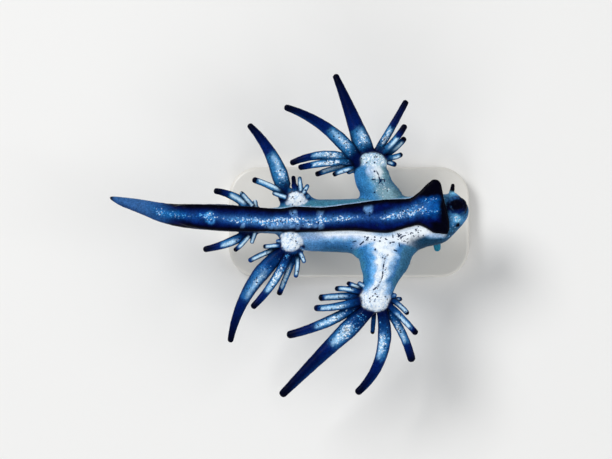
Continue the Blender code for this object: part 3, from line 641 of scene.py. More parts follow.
def pathField(points, path):
    # distance to an oval tube, with the share of its length, and how far to its side and top
    line, half, deep = path["line"], path["half"], path["deep"]
    start, way = line[:-1], np.diff(line, axis=0)
    size = (way ** 2).sum(1)
    t = np.clip(((points[:, None] - start) * way).sum(2) / size, 0.0, 1.0)
    away = points[:, None] - (start + t[..., None] * way)
    k = (away ** 2).sum(2).argmin(1)
    every = np.arange(len(points))
    t, away = t[every, k], away[every, k]
    along = way[k] / np.sqrt(size[k])[:, None]
    side = path["side"][k] * (1 - t)[:, None] + path["side"][k + 1] * t[:, None]
    up = np.cross(along, side)
    w = half[k] * (1 - t) + half[k + 1] * t
    d = deep[k] * (1 - t) + deep[k + 1] * t
    u, v, s = (away * side).sum(1) / w, (away * up).sum(1) / d, (away * along).sum(1) / d
    q = np.sqrt(u * u + v * v + s * s) + 1e-9
    slope = np.sqrt((u / w) ** 2 + (v / d) ** 2 + (s / d) ** 2) / q + 1e-9
    return (q - 1) / slope, path["share"][k] * (1 - t) + path["share"][k + 1] * t, u, v


def ovalField(points, place, size):
    d = (points - place) / size
    q = np.sqrt((d ** 2).sum(1)) + 1e-9
    return (q - 1) * q / (np.sqrt(((d / size) ** 2).sum(1)) + 1e-9)


def padLobes(part, points):
    # how far the pad's uneven rim lies out in each point's direction
    away = points - part["place"]
    turn = np.arctan2(away[:, 1], away[:, 0])
    waves = [
        deep * np.cos(many * turn + start)
        for (many, deep), start in zip(padShape["lobes"], part["place"])
    ]
    return 1 + sum(waves)


def padField(part, points):
    place = part["place"]
    return ovalField(place + (points - place) / padLobes(part, points)[:, None], place, part["size"])


def asPath(line, half, deep, share=None):
    if share is None:
        share = np.linspace(0.0, 1.0, len(line))
    return {"line": line, "half": half, "deep": deep, "side": sideAndUp(line)[0], "share": share}


def lineDistance(points, corners):
    # distance in plan to a bent line
    best = np.full(len(points), far)
    for a, b in zip(corners, corners[1:]):
        a, b = np.array(a), np.array(b)
        t = np.clip(((points[:, :2] - a) @ (b - a)) / ((b - a) @ (b - a)), 0, 1)
        best = np.minimum(best, np.linalg.norm(points[:, :2] - a - t[:, None] * (b - a), axis=1))
    return best


def makeParts():
    # every part of the animal as a field, in the order in which they are joined
    parts = []
    for side, rows in arms.items():
        path = armPath(rows)
        parts.append({"kind": "arm", "side": side, "blend": armSkin["blend"],
                      "path": asPath(path[:, :3], path[:, 3], path[:, 4])})
    for side, fan in fans.items():
        if fan["padSize"]:
            parts.append({"kind": "pad", "side": side, "blend": padShape["blend"],
                          "place": np.array(fan["pad"]), "size": np.array(fan["padSize"])})
    for side, fan in fans.items():
        for number, spec in enumerate(fan["cerata"]):
            end = spec["length"] - spec["tip"] / 2 * cerasShape["depth"]
            count = max(5, round((end + cerasShape["rootInside"]) / cerasShape["step"]))
            places = np.linspace(-cerasShape["rootInside"], end, count)
            half = cerasHalfWidth(spec, places)
            parts.append({"kind": "ceras", "side": side, "blend": cerasShape["blend"],
                          "spec": spec, "number": number,
                          "path": asPath(cerasPath(fan, spec, places), half,
                                         half * cerasShape["depth"], places / spec["length"])})
    for name, (root, tip, wide, narrow) in feelers.items():
        line, half = straightPath(root, tip, wide, narrow)
        parts.append({"kind": "feeler", "side": name, "blend": feelerShape["blend"],
                      "path": asPath(line, half, half)})
    return parts


def findNear(parts, points):
    for part in parts:
        margin = part["blend"] + skin["margin"]
        if "path" in part:
            reach = part["path"]["half"].max() + margin
            low, high = part["path"]["line"].min(0) - reach, part["path"]["line"].max(0) + reach
        else:
            low, high = part["place"] - part["size"] - margin, part["place"] + part["size"] + margin
        part["near"] = np.flatnonzero(((points > low) & (points < high)).all(1))


def bodyField(points):
    value = sectionField(points, body["rows"], 2.0)
    return softMax(value, points[:, 2] - bodyTop(points[:, 0]), body["ledgeSoft"])


def footField(points):
    return sectionField(points, foot["rows"], 2.0 / foot["squareness"], asFoot=True)


def partField(part, points):
    if part["kind"] == "pad":
        return padField(part, points)
    return pathField(points, part["path"])[0]


def mouthFields(points):
    # the round lip, and what is hollowed out of it, with folds that are unevenly spaced
    place, size = np.array(mouth["place"]), np.array(mouth["size"])
    lip = ovalField(points, place, size)
    turn = np.arctan2(points[:, 1] - place[1], points[:, 0] - place[0])
    fold = 1 + mouth["foldDepth"] * np.cos(mouth["folds"] * turn + 1.4 * np.cos(3 * turn + 1.0))
    top = place + (*mouth["opening"], size[2])
    folded = top + (points - top) * np.column_stack([fold, fold, np.ones_like(fold)])
    funnel = ovalField(folded, top, np.array(mouth["funnel"]))
    throat = ovalField(points, top, np.array(mouth["throat"]))
    return lip, softMin(funnel, throat, mouth["blend"])


def coreField(points):
    # trunk and foot, far away for points that are well to their sides
    value = np.full(len(points), far)
    low, high = skin["coreFrom"], skin["coreTo"]
    close = np.flatnonzero((points[:, 1] > low) & (points[:, 1] < high))
    near = points[close]
    # the sole's crisp edge runs out into the tail
    soft = foot["blend"] + (foot["tailBlend"] - foot["blend"]) * ease(-15.6, -17.6, near[:, 0])
    value[close] = softMin(bodyField(near), footField(near), soft)
    return value


def skinField(parts, points):
    value = coreField(points)
    fanValue = {side: np.full(len(points), far) for side in fans}
    for part in parts:
        near = part["near"]
        if not len(near):
            continue
        found = partField(part, points[near])
        if part["kind"] == "pad":
            value[near] = softMin(value[near], found, skin["padBlend"])
        if part["kind"] in ("pad", "ceras"):
            target = fanValue[part["side"]]
        else:
            target = value
        target[near] = softMin(target[near], found, part["blend"])
    for side in fans:
        value = softMin(value, fanValue[side], skin["fanBlend"])
    close = np.flatnonzero(points[:, 0] > mouth["place"][0] - mouth["reach"])
    lip, hollow = mouthFields(points[close])
    value[close] = softMax(softMin(value[close], lip, mouth["blend"]), -hollow, mouth["rimSoft"])
    crease = lineDistance(points, skin["creaseLine"])
    upper = ease(*skin["creaseAbove"], points[:, 2])
    return value + skin["creaseDepth"] * upper * np.exp(-(crease / skin["creaseWidth"]) ** 2)


def fieldAndSlope(parts, points):
    # both from four points round each, at the corners of a tetrahedron
    corners = np.array([(1, -1, -1), (-1, -1, 1), (-1, 1, -1), (1, 1, 1)], float)
    values = [skinField(parts, points + probe * corner) for corner in corners]
    slope = sum(corner * value[:, None] for corner, value in zip(corners, values)) / (4 * probe)
    return sum(values) / 4, slope


def settle(parts, points, rough, rounds):
    # moves the points onto the true surface, never far from where the remesh put them
    for _ in range(rounds):
        value, slope = fieldAndSlope(parts, points)
        step = slope * (value / np.maximum((slope ** 2).sum(1), skin["leastSlope"]))[:, None]
        moved = points - step - rough
        length = np.maximum(np.linalg.norm(moved, axis=1), 1e-9)
        points = rough + moved * np.minimum(1.0, skin["mostMove"] / length)[:, None]
    return points, slope / np.maximum(np.linalg.norm(slope, axis=1), 1e-6)[:, None]


def relax(points, normals, edges, share):
    # evens out the points along the surface
    total = np.zeros_like(points)
    count = np.bincount(edges.ravel(), minlength=len(points))
    for axis in range(3):
        total[:, axis] = (
            np.bincount(edges[:, 0], points[edges[:, 1], axis], len(points))
            + np.bincount(edges[:, 1], points[edges[:, 0], axis], len(points))
        )
    pull = total / count[:, None] - points
    pull -= normals * (pull * normals).sum(1)[:, None]
    return points + share * pull


def edgesOf(mesh):
    edges = np.empty(len(mesh.edges) * 2, np.int32)
    mesh.edges.foreach_get("vertices", edges)
    return edges.reshape(-1, 2)


def relief(points, normals, amount):
    # small lumps of the flesh, about half a millimetre across
    large, small = skin["lumps"]
    shift = 9.0
    height = np.array([
        noise.noise(Vector(p * large)) + 0.5 * noise.noise(Vector(p * small + shift)) for p in points
    ])
    return points + normals * (height * amount)[:, None]


def buildSkinMesh(material, parts):
    bits = [loft(bodyRings()), loft(footRings())]
    bits += [loft(armRings(armPath(rows))) for rows in arms.values()]
    bits += [loft(ellipsoidRings(f["pad"], f["padSize"])) for f in fans.values() if f["padSize"]]
    bits.append(loft(ellipsoidRings(mouth["place"], mouth["size"])))
    tubes = []
    for part in parts:
        if part["kind"] in ("ceras", "feeler"):
            depth = cerasShape["depth"] if part["kind"] == "ceras" else 1.0
            line, half = withRoundTip(part["path"]["line"], part["path"]["half"], depth)
            tubes.append((line, half - skin["shrink"]))
    bits.append(sweepTubes(tubes, material))
    points, faces, start = [], [], 0
    for bitPoints, bitFaces in bits:
        points.append(bitPoints)
        faces += [tuple(start + v for v in face) for face in bitFaces]
        start += len(bitPoints)
    rough = addObject("roughSkin", newMesh("roughSkin", np.concatenate(points), faces))
    remesh = rough.modifiers.new("remesh", "REMESH")
    remesh.mode = "VOXEL"
    remesh.voxel_size = skin["voxel"]
    mesh = evaluatedMesh(rough)
    bpy.data.objects.remove(rough)
    print("remeshed:", len(mesh.vertices), "points")
    return mesh


def refineMouth(mesh):
    # halves the mesh round the mouth, for its folds
    bm = bmesh.new()
    bm.from_mesh(mesh)
    place = Vector(mouth["place"])
    close = [e for e in bm.edges if all(
        (v.co - place).length < mouth["fineRadius"] and v.co.z > mouth["fineAbove"] for v in e.verts)]
    bmesh.ops.subdivide_edges(bm, edges=close, cuts=1, use_grid_fill=True)
    bm.to_mesh(mesh)
    bm.free()


# The animal's colours, each as the eye sees it in even light.
paint = {name: linear(code) for name, code in {
    "black": "#02020e", "footNavy": "#020b46", "footBlue": "#03287a", "azure": "#07529e",
    "midAzure": "#2c7fc6", "bandBlue": "#5f93c8", "tailAzure": "#1c74be", "tailDusk": "#1d4c88",
    "tailSky": "#2f8cd8", "lavender": "#6a9ad2", "slate": "#335f98", "slateDark": "#1b3c70",
    "slateEdge": "#4f7399", "white": "#edf5fc", "paleSteel": "#a6c6ea", "steel": "#3d78b2",
    "steelDark": "#2a5f8f", "greyLine": "#7c9cc0", "teal": "#2a6186", "deepTeal": "#153a54",
    "seaGreen": "#42809c", "back": "#9db3c8", "backDark": "#5f7c9c", "turquoise": "#2b86a4",
    "mouthNavy": "#040a2e", "mouthStreakHighlight": "#2a5a90", "cyan": "#86cdf5", "blotch": "#5a9fd2",
    "mouthBlue": "#03205a", "cerasNavy": "#000d3c", "cerasDusk": "#021c5c", "cerasRimLight": "#0a3c7c",
    "cerasTip": "#010418", "leftBase": "#0b4588", "rightBase": "#185c90", "glow": "#3c82bc",
    "silver": "#98c6ec", "bright": "#c8e6f8", "flankPale": "#c0d4f2", "flankSky": "#96bde4",
    "flankBlue": "#6ca2d2", "flankGrey": "#8fb0d0", "headBlue": "#2d6390", "armBlue": "#2f74ae",
    "armTeal": "#3e7295", "armSea": "#6ea4c4", "armPale": "#8eb6c6", "armGreen": "#628c9c",
    "armSky": "#3d88c2", "padSea": "#b0d0dc", "armDeep": "#3a7ca0", "armBright": "#3c84c4",
    "skyBlue": "#6db2ec", "tentacleBlue": "#0f4080",
}.items()}
# each pad: colour, where its rim is, and the way to its fan
padLooks = {"front_left": ("white", 0.97, 270), "front_right": ("padSea", 0.92, 100),
            "middle_left": ("white", 1.02, 250), "middle_right": ("white", 1.00, 90)}
# Marks on the top side: x, y, half length, half width, colour, strength.
headDabs = [
    # painted shade: black where the sole's front edge shades the head beside the mouth
    (9.75, 1.35, 0.50, 0.80, "black", 1.00),
    (*mouth["darkPlace"], 1.02, 0.95, "mouthNavy", 1.00),
    (9.95, 2.70, 0.62, 0.28, "blotch", 0.95),
    (10.25, 2.88, 0.22, 0.14, "cyan", 0.80),
    # painted highlight: a small paler spot in that shade
    (9.43, 2.08, 0.14, 0.16, "steel", 0.70),
    (9.95, 0.55, 0.60, 0.50, "steelDark", 0.80),
    (10.50, 0.34, 0.58, 0.48, "blotch", 1.00),
    (10.55, 0.16, 0.22, 0.20, "cyan", 1.00), (10.60, 0.52, 0.22, 0.14, "cyan", 0.80),
    (10.32, 0.66, 0.12, 0.10, "cyan", 0.80),
    (8.60, -1.20, 0.70, 0.22, "paleSteel", 0.80),
    (10.20, -0.75, 0.70, 0.25, "teal", 0.60),
]
armDabs = [
    (2.10, 5.15, 0.50, 0.70, "flankPale", 0.70), (2.75, 4.75, 0.40, 0.50, "white", 0.80),
    (2.60, 5.55, 0.40, 0.50, "white", 0.75),
]


def asLook(tint, silver=0.0, dark=0.0, dull=0.0, grain=0.25):
    # tint, and the amounts of silver flecks, dark specks, dullness and grain
    amounts = {"silver": silver, "dark": dark, "dull": dull, "grain": grain}
    return {"tint": tint, **{key: np.full(len(tint), value) for key, value in amounts.items()}}


def painted(tint, *coats):
    # lays coats of named colours over a tint, each with its own share
    for name, share in coats:
        tint = mix(tint, paint[name], share)
    return tint


def profileTint(position, stops):
    # colours along one measure, from a list of (position, colour)
    places = [stop[0] for stop in stops]
    return np.column_stack([
        np.interp(position, places, [paint[stop[1]][k] for stop in stops]) for k in range(3)])


def wobble(points, size, shift=0.0):
    return np.array([noise.noise(Vector(p / size + shift)) for p in points])


def spot(points, x, y, rx, ry, turn=0.0, soft=0.35):
    # 1 inside an oval seen from above, falling to 0 past its edge
    a = math.radians(turn)
    dx, dy = points[:, 0] - x, points[:, 1] - y
    u = (dx * math.cos(a) + dy * math.sin(a)) / rx
    v = (-dx * math.sin(a) + dy * math.cos(a)) / ry
    return ease(1 + soft, 1 - soft, np.sqrt(u * u + v * v))


def paintTail(points):
    # the same on the sole's end and on the flesh beside it, so that no edge shows between them
    x, y, _ = points.T
    right, left, _, _ = readTable(body["rows"], x).T
    upper, lower = right - y, y - left
    ragged = 0.10 * wobble(points, 0.6, 2.0)
    slate = painted(paint["slate"], ("slateDark", 0.7 * ease(0.55, 0.0, lower + ragged)),
                    ("slateEdge", 0.5 * ease(0.18, 0.02, upper)))
    middle, half, strength = readTable(foot["midline"], x).T
    away = np.abs(y - middle) / half
    edge = np.minimum(upper + 0.05, lower + 0.12) + ragged
    blue = painted(
        paint["tailDusk"], ("footNavy", ease(-18.6, -16.9, x)),
        ("tailAzure", 0.55 * np.exp(-((away + 2 * ragged) / 0.85) ** 2)),
        ("black", ease(0.50, 0.20, edge) * ease(-18.9, -17.0, x)))
    tint = painted(mix(slate, blue, ease(-20.4, -18.2, x + 4 * ragged)),
                   ("black", ease(-23.0, -23.35, x)))
    band = np.exp(-(away / 1.7) ** 2) * (0.5 + 0.5 * strength) * ease(-20.2, -18.8, x)
    return tint, band


def paintFoot(points):
    x, y, _ = points.T
    right, left, _, _ = readTable(foot["rows"], x).T
    ragged = 0.06 * wobble(points, 0.35, 3.0) + 0.05 * wobble(points, 1.3, 7.0)
    middle, half, strength = readTable(foot["midline"], x).T
    away = np.abs(y - middle + 0.06 * wobble(points, 0.8, 4.0)) / half
    near, wide = np.exp(-(away / 0.74) ** 2), np.exp(-(away / 1.05) ** 2)
    uneven = np.clip(0.5 + 1.1 * wobble(points, 0.7), 0, 1)
    flush = ease(5.6, 8.0, x) * ease(0.2, 1.2, y + 4 * ragged) * ease(2.85, 2.0, y + 4 * ragged)
    lilac = np.zeros(len(points))
    for patch in foot["patches"]:
        lilac = np.maximum(lilac, spot(points + 1.6 * ragged[:, None], *patch, soft=0.25))
    white = ease(-14.5, -11.0, x)  # towards the tail the band and its patches are azure
    patchTint = painted(paint["tailSky"], ("lavender", white))
    tint = painted(paint["footNavy"], ("footBlue", np.clip(wide + 0.6 * uneven - 0.3, 0, 1)),
                   ("azure", flush * np.clip(0.5 + uneven, 0, 1)))
    tint = mix(tint, patchTint, lilac * np.clip(0.65 + 0.9 * wobble(points, 0.3, 8.0), 0, 1))
    black = np.maximum.reduce([
        ease(0.70, 0.22, np.minimum(right - y, y - left + 0.08) + ragged),
        ease(2.25, 2.75, y + 2 * ragged),
        ease(7.2, 8.2, x) * ease(0.30, -0.15, y + 2 * ragged),
        ease(8.45, 9.0, x + 2 * ragged),
    ])
    tint = painted(tint, ("midAzure", np.clip(0.42 * strength * wide, 0, 1)),
                   ("bandBlue", np.clip(0.42 * strength * near * white, 0, 1)), ("black", black))
    band = strength * (0.38 * near + 0.40 * wide) * (1 - 0.9 * black)
    tailward = ease(-15.6, -17.4, x)
    tailTint, tailBand = paintTail(points)
    silver = band * (0.7 + 0.6 * uneven) * (1.25 - 0.25 * white)
    silver += (0.30 + 0.40 * uneven) * flush * (1 - black) * (1 - near)
    silver += (0.34 - 0.16 * white) * lilac * (1 - black)
    silver = np.clip(silver * (1 - tailward) + 0.64 * tailBand * tailward, 0, 0.76)
    spread = np.maximum(strength * np.maximum(near, 0.6 * wide), 0.5 * lilac)
    dark = (0.15 + 0.60 * np.maximum(spread, 0.5 * flush)) * (1 - black) * (1 - 0.5 * tailward)
    return asLook(mix(tint, tailTint, tailward), silver, dark, 0.8 * ease(-17.5, -19.5, x))


def paintBody(points, normals):
    x, y, _ = points.T
    right, left, _, _ = readTable(foot["rows"], x).T
    bodyRight, bodyLeft, _, _ = readTable(body["rows"], x).T
    ragged = 0.12 * wobble(points, 0.5, 2.0)
    out = left - y
    across = out / np.maximum(left - bodyLeft, 0.2) + ragged * 0.6
    # the flank: a white edge under the sole, in part a painted highlight along its wet rim, a grey line,
    # then steel blue down to teal
    tint = profileTint(across, [
        (0.0, "white"), (0.16, "white"), (0.26, "flankPale"), (0.36, "flankSky"),
        (0.45, "flankBlue"), (0.56, "steel"), (0.78, "steelDark"), (1.0, "teal")])
    rearward = profileTint(across, [
        (0.0, "flankGrey"), (0.15, "flankGrey"), (0.30, "flankPale"), (0.45, "flankSky"),
        (0.62, "flankBlue"), (1.0, "steel")])
    shoulder = spot(points, 3.6, -2.2, 2.5, 1.25, soft=0.5)
    bright = spot(points, 6.1, -1.35, 1.8, 0.52, 20, soft=0.4)
    tint = painted(
        mix(tint, rearward, ease(-2.2, -4.6, x)),
        # painted shade: a darker steel patch on the rear flank
        ("steel", 0.6 * spot(points, -3.6, -1.85, 1.2, 0.9, soft=0.6)),
        ("armBright", 0.6 * spot(points, 0.9, -2.30, 1.2, 0.42, soft=0.5)),
        ("greyLine", 0.4 * ease(0.08, 0.16, out) * ease(0.36, 0.24, out)),
        ("white", 0.9 * shoulder), ("white", bright),
        # painted shade: duskier blue on the flank just under the sole's edge
        ("flankBlue", 0.7 * spot(points, 3.3, -1.12, 1.1, 0.30, soft=0.6)),
        ("flankSky", 0.7 * spot(points, 2.7, -2.95, 0.50, 0.75, soft=0.6)),
        ("deepTeal", 0.92 * ease(4.8, 6.8, x) * ease(0.30, 0.60, across)),  # the neck
        ("steelDark", 0.75 * ease(-4.0, -5.6, x)))
    # the right side's narrow margin, pale beside the sole and then sea green
    beside = y - right
    margin = painted(paint["paleSteel"], ("seaGreen", ease(0.02, 0.14, beside + ragged * 0.3)),
                     ("teal", ease(0.7, 1.1, beside / np.maximum(bodyRight - right, 0.2))))
    onRight = ease(0.0, 0.3, y - (right + left) / 2)
    tint = mix(tint, margin, onRight)
    headward = ease(8.9, 9.6, x)
    headTint = painted(paint["headBlue"], ("armBlue", 0.4 + 0.8 * wobble(points, 0.6, 12.0)),
                       ("deepTeal", 0.7 * ease(0.2, -1.0, y)))
    tint = mix(tint, headTint, headward)
    bent = points + 1.2 * ragged[:, None]
    facing = ease(0.0, 0.35, normals[:, 2])
    for *place, colour, strength in headDabs:
        crisp = colour == "mouthNavy"
        weight = spot(points if crisp else bent, *place, soft=0.12 if crisp else 0.5)
        tint = painted(tint, (colour, weight * strength * facing))
    behind = painted(paint["black"], ("footNavy", 0.5 + ragged))
    tint = mix(tint, behind, 0.9 * ease(-7.6, -9.6, x))
    tailTint, tailBand = paintTail(points)
    tailward = ease(-14.6, -16.4, x)
    silverBack = painted(paint["back"], ("backDark", 0.5 + 0.5 * wobble(points, 1.1, 4.0)))
    tint = mix(mix(tint, tailTint, tailward), silverBack, ease(0.05, -0.55, normals[:, 2]))
    silver = np.maximum.reduce([
        0.64 * tailBand * tailward,
        0.30 * ease(0.60, 0.10, across) * (1 - onRight) * ease(-6.5, -4.0, x) * (1 - headward),
        0.28 * onRight * ease(-7.0, -5.0, x),
        0.35 * headward * ease(1.2, 0.4, y),
        0.48 * headward * spot(points, 10.50, 0.30, 0.48, 0.42, soft=0.5),  # the left cheek
    ])
    dark = 0.50 * shoulder + 0.45 * bright + 0.18 * ease(-6.0, -4.0, x) * (1 - headward)
    return asLook(tint, silver, dark, 0.8 * ease(-17.5, -19.5, x))


def paintArm(part, points, normals, share, side):
    where = part["side"]
    uneven = side + 0.16 * wobble(points, 0.5, 1.0)
    silver = dark = 0.0
    if where == "front_left":
        uneven = uneven * (1 - 0.42 * ease(-5.6, -6.8, points[:, 1]))  # white widens at the pad
        tint = profileTint(uneven, [
            (-1.0, "armDeep"), (-0.75, "armBlue"), (-0.60, "armBright"), (-0.44, "skyBlue"),
            (-0.34, "paleSteel"), (-0.26, "white"), (0.20, "white"), (0.38, "flankSky"),
            (0.54, "steel"), (0.70, "armTeal"), (1.0, "teal")])
        ridge = ease(-0.44, -0.22, uneven) * ease(0.50, 0.15, uneven)
        shade = np.clip(0.45 + 1.6 * wobble(points, 0.6, 5.0), 0, 1) * ease(-0.30, -0.16, uneven)
        tint = painted(tint, ("flankSky", 0.6 * ridge * shade))
        silver = 0.46 * ridge
        dark = 0.30 * ridge + 0.3 * ease(0.6, 0.1, lineDistance(points, skin["creaseLine"]))
    elif where == "front_right":
        tint = profileTint(uneven, [
            (-1.0, "teal"), (-0.80, "armGreen"), (-0.50, "armPale"), (-0.2, "armPale"),
            (0.05, "armSea"), (0.35, "armSky"), (0.80, "armBlue"), (1.0, "armBlue")])
        upper = ease(3.0, 3.6, points[:, 1]) * ease(4.6, 4.0, points[:, 1])
        tint = painted(tint, ("armTeal", 0.55 * upper * ease(0.3, -0.2, uneven)))
        bent = points + 0.15 * wobble(points, 0.3)[:, None]
        for *place, colour, strength in armDabs:
            tint = painted(tint, (colour, strength * spot(bent, *place, soft=0.5)))
        silver = 0.32 * ease(0.7, 0.0, uneven) * ease(-1.0, -0.7, uneven)
        dark = 0.12 + 0.40 * spot(points, 2.84, 4.45, 0.55, 0.75, 30, soft=0.5)
    elif where.startswith("middle"):
        base = "leftBase" if where.endswith("left") else "rightBase"
        tint = painted(paint["steelDark"], (base, ease(0.3, 0.9, share)))
        silver = 0.25 * ease(1.0, 0.3, share)
    else:
        tint = painted(paint["leftBase"], ("cerasNavy", ease(0.3, 0.9, np.abs(side))))
    return asLook(painted(tint, ("back", 0.9 * ease(0.05, -0.55, normals[:, 2]))), silver, dark)


def paintPad(part, points, normals):
    # a white granular disc, with painted shade under the roots of the cerata along its rim
    d = (points - part["place"]) / part["size"] / padLobes(part, points)[:, None]
    out = np.sqrt(d[:, 0] ** 2 + d[:, 1] ** 2) + 0.14 * wobble(points, 0.24, 9.0)
    tone, edge, way = padLooks[part["side"]]
    outward = d[:, 0] * math.cos(math.radians(way)) + d[:, 1] * math.sin(math.radians(way))
    tint = painted(
        paint[tone], ("paleSteel", np.clip(0.36 + 1.3 * wobble(points, 0.22, 6.0), 0, 1)),
        ("cerasNavy", 0.9 * ease(edge, edge + 0.10, out) * ease(-0.3, 0.2, outward)),
        ("back", ease(-0.1, -0.6, normals[:, 2])))
    return asLook(tint, 0.58 * ease(edge + 0.05, edge - 0.1, out), 0.52 * ease(edge + 0.1, edge - 0.1, out),
                  0.6 * ease(1.1, 0.8, out), 1.0)


def paintCeras(part, points, normals, share, side, top):
    spec = part["spec"]
    start, end = spec["stripe"]
    length = spec["length"]
    seed = part["number"] * 3.7 + len(part["side"])
    wander, frayed = wobble(points, 0.8, seed), wobble(points, 0.22, seed)
    place = share + (0.10 * wander + 0.20 * frayed) / length
    small = float(ease(5.5, 3.5, length))
    # the silver stripe: a soft glow with a brighter core
    rise = min(1.2 / length, 0.6 * start + 0.01)
    soft = (0.16 + 0.45 * float(ease(5.5, 8.0, length))) / length
    window = ease(start - rise, start + 0.5 * rise, place) * ease(end + soft, end - soft, place)
    window *= spec["shine"]
    fray = (0.2 - 0.1 * small) * frayed
    glow = window * ease(1.05, 0.40, np.abs(side - 0.4 * spec["side"] + fray))
    lean = side - spec["side"] + fray
    core = window * np.exp(-(lean / (0.43 - 0.03 * small)) ** 2) * ease(-0.1, 0.4, top)
    # navy at the root, painted shade where it leaves the pad, bluer up to the stripe, navy past it and
    # black at the tip
    base = "leftBase" if part["side"].endswith("left") else "rightBase"
    fade = 1.2 + 1.6 * float(ease(6.0, 8.0, length))  # millimetres from the stripe to plain navy
    tipStart = 0.5 * (1 + end) - 0.35 * (1 - end) * small
    tint = painted(
        paint["cerasNavy"],
        (base, ease(0.0, 0.75 * start + 0.05, place) * (0.9 + 0.5 * wander)),
        ("cerasDusk", ease(end, end + 0.3 / length, place)),
        ("cerasNavy", ease(end + 0.3 / length, end + fade / length, place)),
        ("cerasTip", ease(tipStart, 0.99 - 0.1 * small, share)),
        ("glow", np.clip(0.95 * glow, 0, 1)))
    tint = mix(tint, mix(paint["silver"], paint["bright"], small), ease(0.08, 0.80, core))
    # painted shade: darker navy down both edges of each ceras
    outline = ease(0.68, 0.96, np.abs(side))
    # painted rim light: a bluer edge on the side that faces the animal's left
    paintedRimLight = ease(0.15, 0.75, -normals[:, 1]) * ease(-0.2, 0.2, top) * ease(0.96, 0.80, share)
    tint = painted(tint, ("cerasNavy", (0.70 + 0.2 * small) * outline),
                   ("cerasRimLight", 0.5 * paintedRimLight * (1 - small) * ease(start, end, share)))
    before = ease(end, start, share) * ease(0.1, 0.6, share * length) * min(1.0, spec["shine"])
    rootward = 0.28 * before + 0.10 * ease(1.0, 0.6, share)
    silver = 0.17 * core + (0.14 - 0.03 * small) * glow + rootward * (1 - small)
    underneath = painted(paint["steel"], ("cerasNavy", ease(0.35, 0.9, np.abs(side))),
                         ("cerasTip", ease(0.7, 0.95, share)))
    return asLook(mix(tint, underneath, ease(-0.15, -0.6, normals[:, 2])),
                  np.clip(silver * (1 - 0.8 * outline), 0, 1),
                  (0.60 * before + 0.45 * glow) * (1 - 0.6 * small), grain=0.15)


def paintFeeler(part, share):
    if part["side"].startswith("rhinophore"):
        return asLook(painted(paint["teal"], ("turquoise", ease(0.3, 0.8, share))))
    if part["side"].endswith("right"):
        return asLook(painted(paint["cyan"], ("black", ease(0.40, 0.62, share))))
    return asLook(painted(paint["black"], ("tentacleBlue", ease(0.9, 0.6, share))))


def paintMouth(points):
    middle = mouth["darkPlace"]
    dx, dy = points[:, 0] - middle[0], points[:, 1] - middle[1]
    out = np.sqrt((dx / 1.0) ** 2 + (dy / 0.94) ** 2)
    ragged = 0.25 * wobble(points, 0.3, 21.0)
    streak = 0.5 + 0.5 * np.cos(mouth["folds"] * np.arctan2(dy, dx) + 9 * ragged)
    paintedRimLight = ease(0.35, 0.85, dy - 0.2 * dx + ragged) * ease(0.5, 0.85, out)
    openingShade = np.sqrt(((dx + 0.25) / 0.85) ** 2 + ((dy - 0.10) / 0.55) ** 2) + ragged
    # black inside, as painted shade in the opening, and on the right, bluer below, with paler streaks on
    # the upper rim as a painted highlight on its folds
    tint = painted(
        paint["mouthNavy"], ("mouthBlue", ease(-0.25, -0.60, dy + ragged)),
        ("steelDark", 0.6 * ease(-0.70, -1.0, dy - 0.5 * dx + ragged)),
        ("mouthStreakHighlight", paintedRimLight * (0.4 + 0.6 * streak)),
        ("cerasTip", 0.9 * ease(0.30, 0.65, dx + 0.4 * dy + ragged)),
        ("black", ease(1.1, 0.7, openingShade)))
    return asLook(tint, grain=0.1)


def paintSkin(parts, points, normals):
    # every point takes the colours of the parts that lie nearest to it, where a pad, a ceras and
    # the mouth count as nearer by their lead
    lead, soft = {"pad": 0.16, "ceras": 0.12, "mouth": 0.16}, 0.04
    count = len(points)
    layers = [(np.arange(count), bodyField(points), paintBody(points, normals))]
    footValue = footField(points)
    near = np.flatnonzero(footValue < 0.5)
    layers.append((near, footValue[near], paintFoot(points[near])))
    first, second = np.full(count, far), np.full(count, far)  # to the two nearest cerata
    for part in parts:
        near, kind = part["near"], part["kind"]
        if not len(near):
            continue
        p, n = points[near], normals[near]
        if kind == "pad":
            layers.append((near, padField(part, p) - lead["pad"], paintPad(part, p, n)))
            continue
        value, share, side, top = pathField(p, part["path"])
        if kind == "ceras":
            second[near] = np.minimum(second[near], np.maximum(first[near], value))
            first[near] = np.minimum(first[near], value)
            layers.append((near, value - lead["ceras"], paintCeras(part, p, n, share, side, top)))
        elif kind == "arm":
            layers.append((near, value, paintArm(part, p, n, share, side)))
        else:
            layers.append((near, value, paintFeeler(part, share)))
    near = np.flatnonzero(np.linalg.norm(points - mouth["place"], axis=1) < mouth["paintRadius"])
    lip, hollow = mouthFields(points[near])
    layers.append((near, np.minimum(lip, np.abs(hollow)) - lead["mouth"], paintMouth(points[near])))
    best = np.full(count, far)
    for near, value, _ in layers:
        best[near] = np.minimum(best[near], value)
    total = np.zeros(count)
    look = {key: np.zeros_like(kept) for key, kept in layers[0][2].items()}
    for near, value, own in layers:
        weight = np.exp(-np.clip((value - best[near]) / soft, 0, 30))
        total[near] += weight
        for key, kept in look.items():
            kept[near] += own[key] * (weight[:, None] if key == "tint" else weight)
    look = {key: kept / (total[:, None] if key == "tint" else total) for key, kept in look.items()}
    # painted shade: black in the clefts where two cerata lie against each other
    cleftShade = ease(0.16, 0.05, second)
    look["tint"] = painted(look["tint"], ("cerasTip", 0.85 * cleftShade))
    look["silver"] *= 1 - cleftShade
    return look


def newMaterial(name, rows):
    # a material whose rows start from the place on the piece and end in a row named shader
    material = bpy.data.materials.new(name)
    material.use_nodes = True
    material.node_tree.nodes.clear()
    first = ("where", "TexCoord", {}, {})
    last = ("out", "OutputMaterial", {}, {"Surface": "shader.0"})
    growTree(material.node_tree, (first, *rows, last), "ShaderNode")
    return material


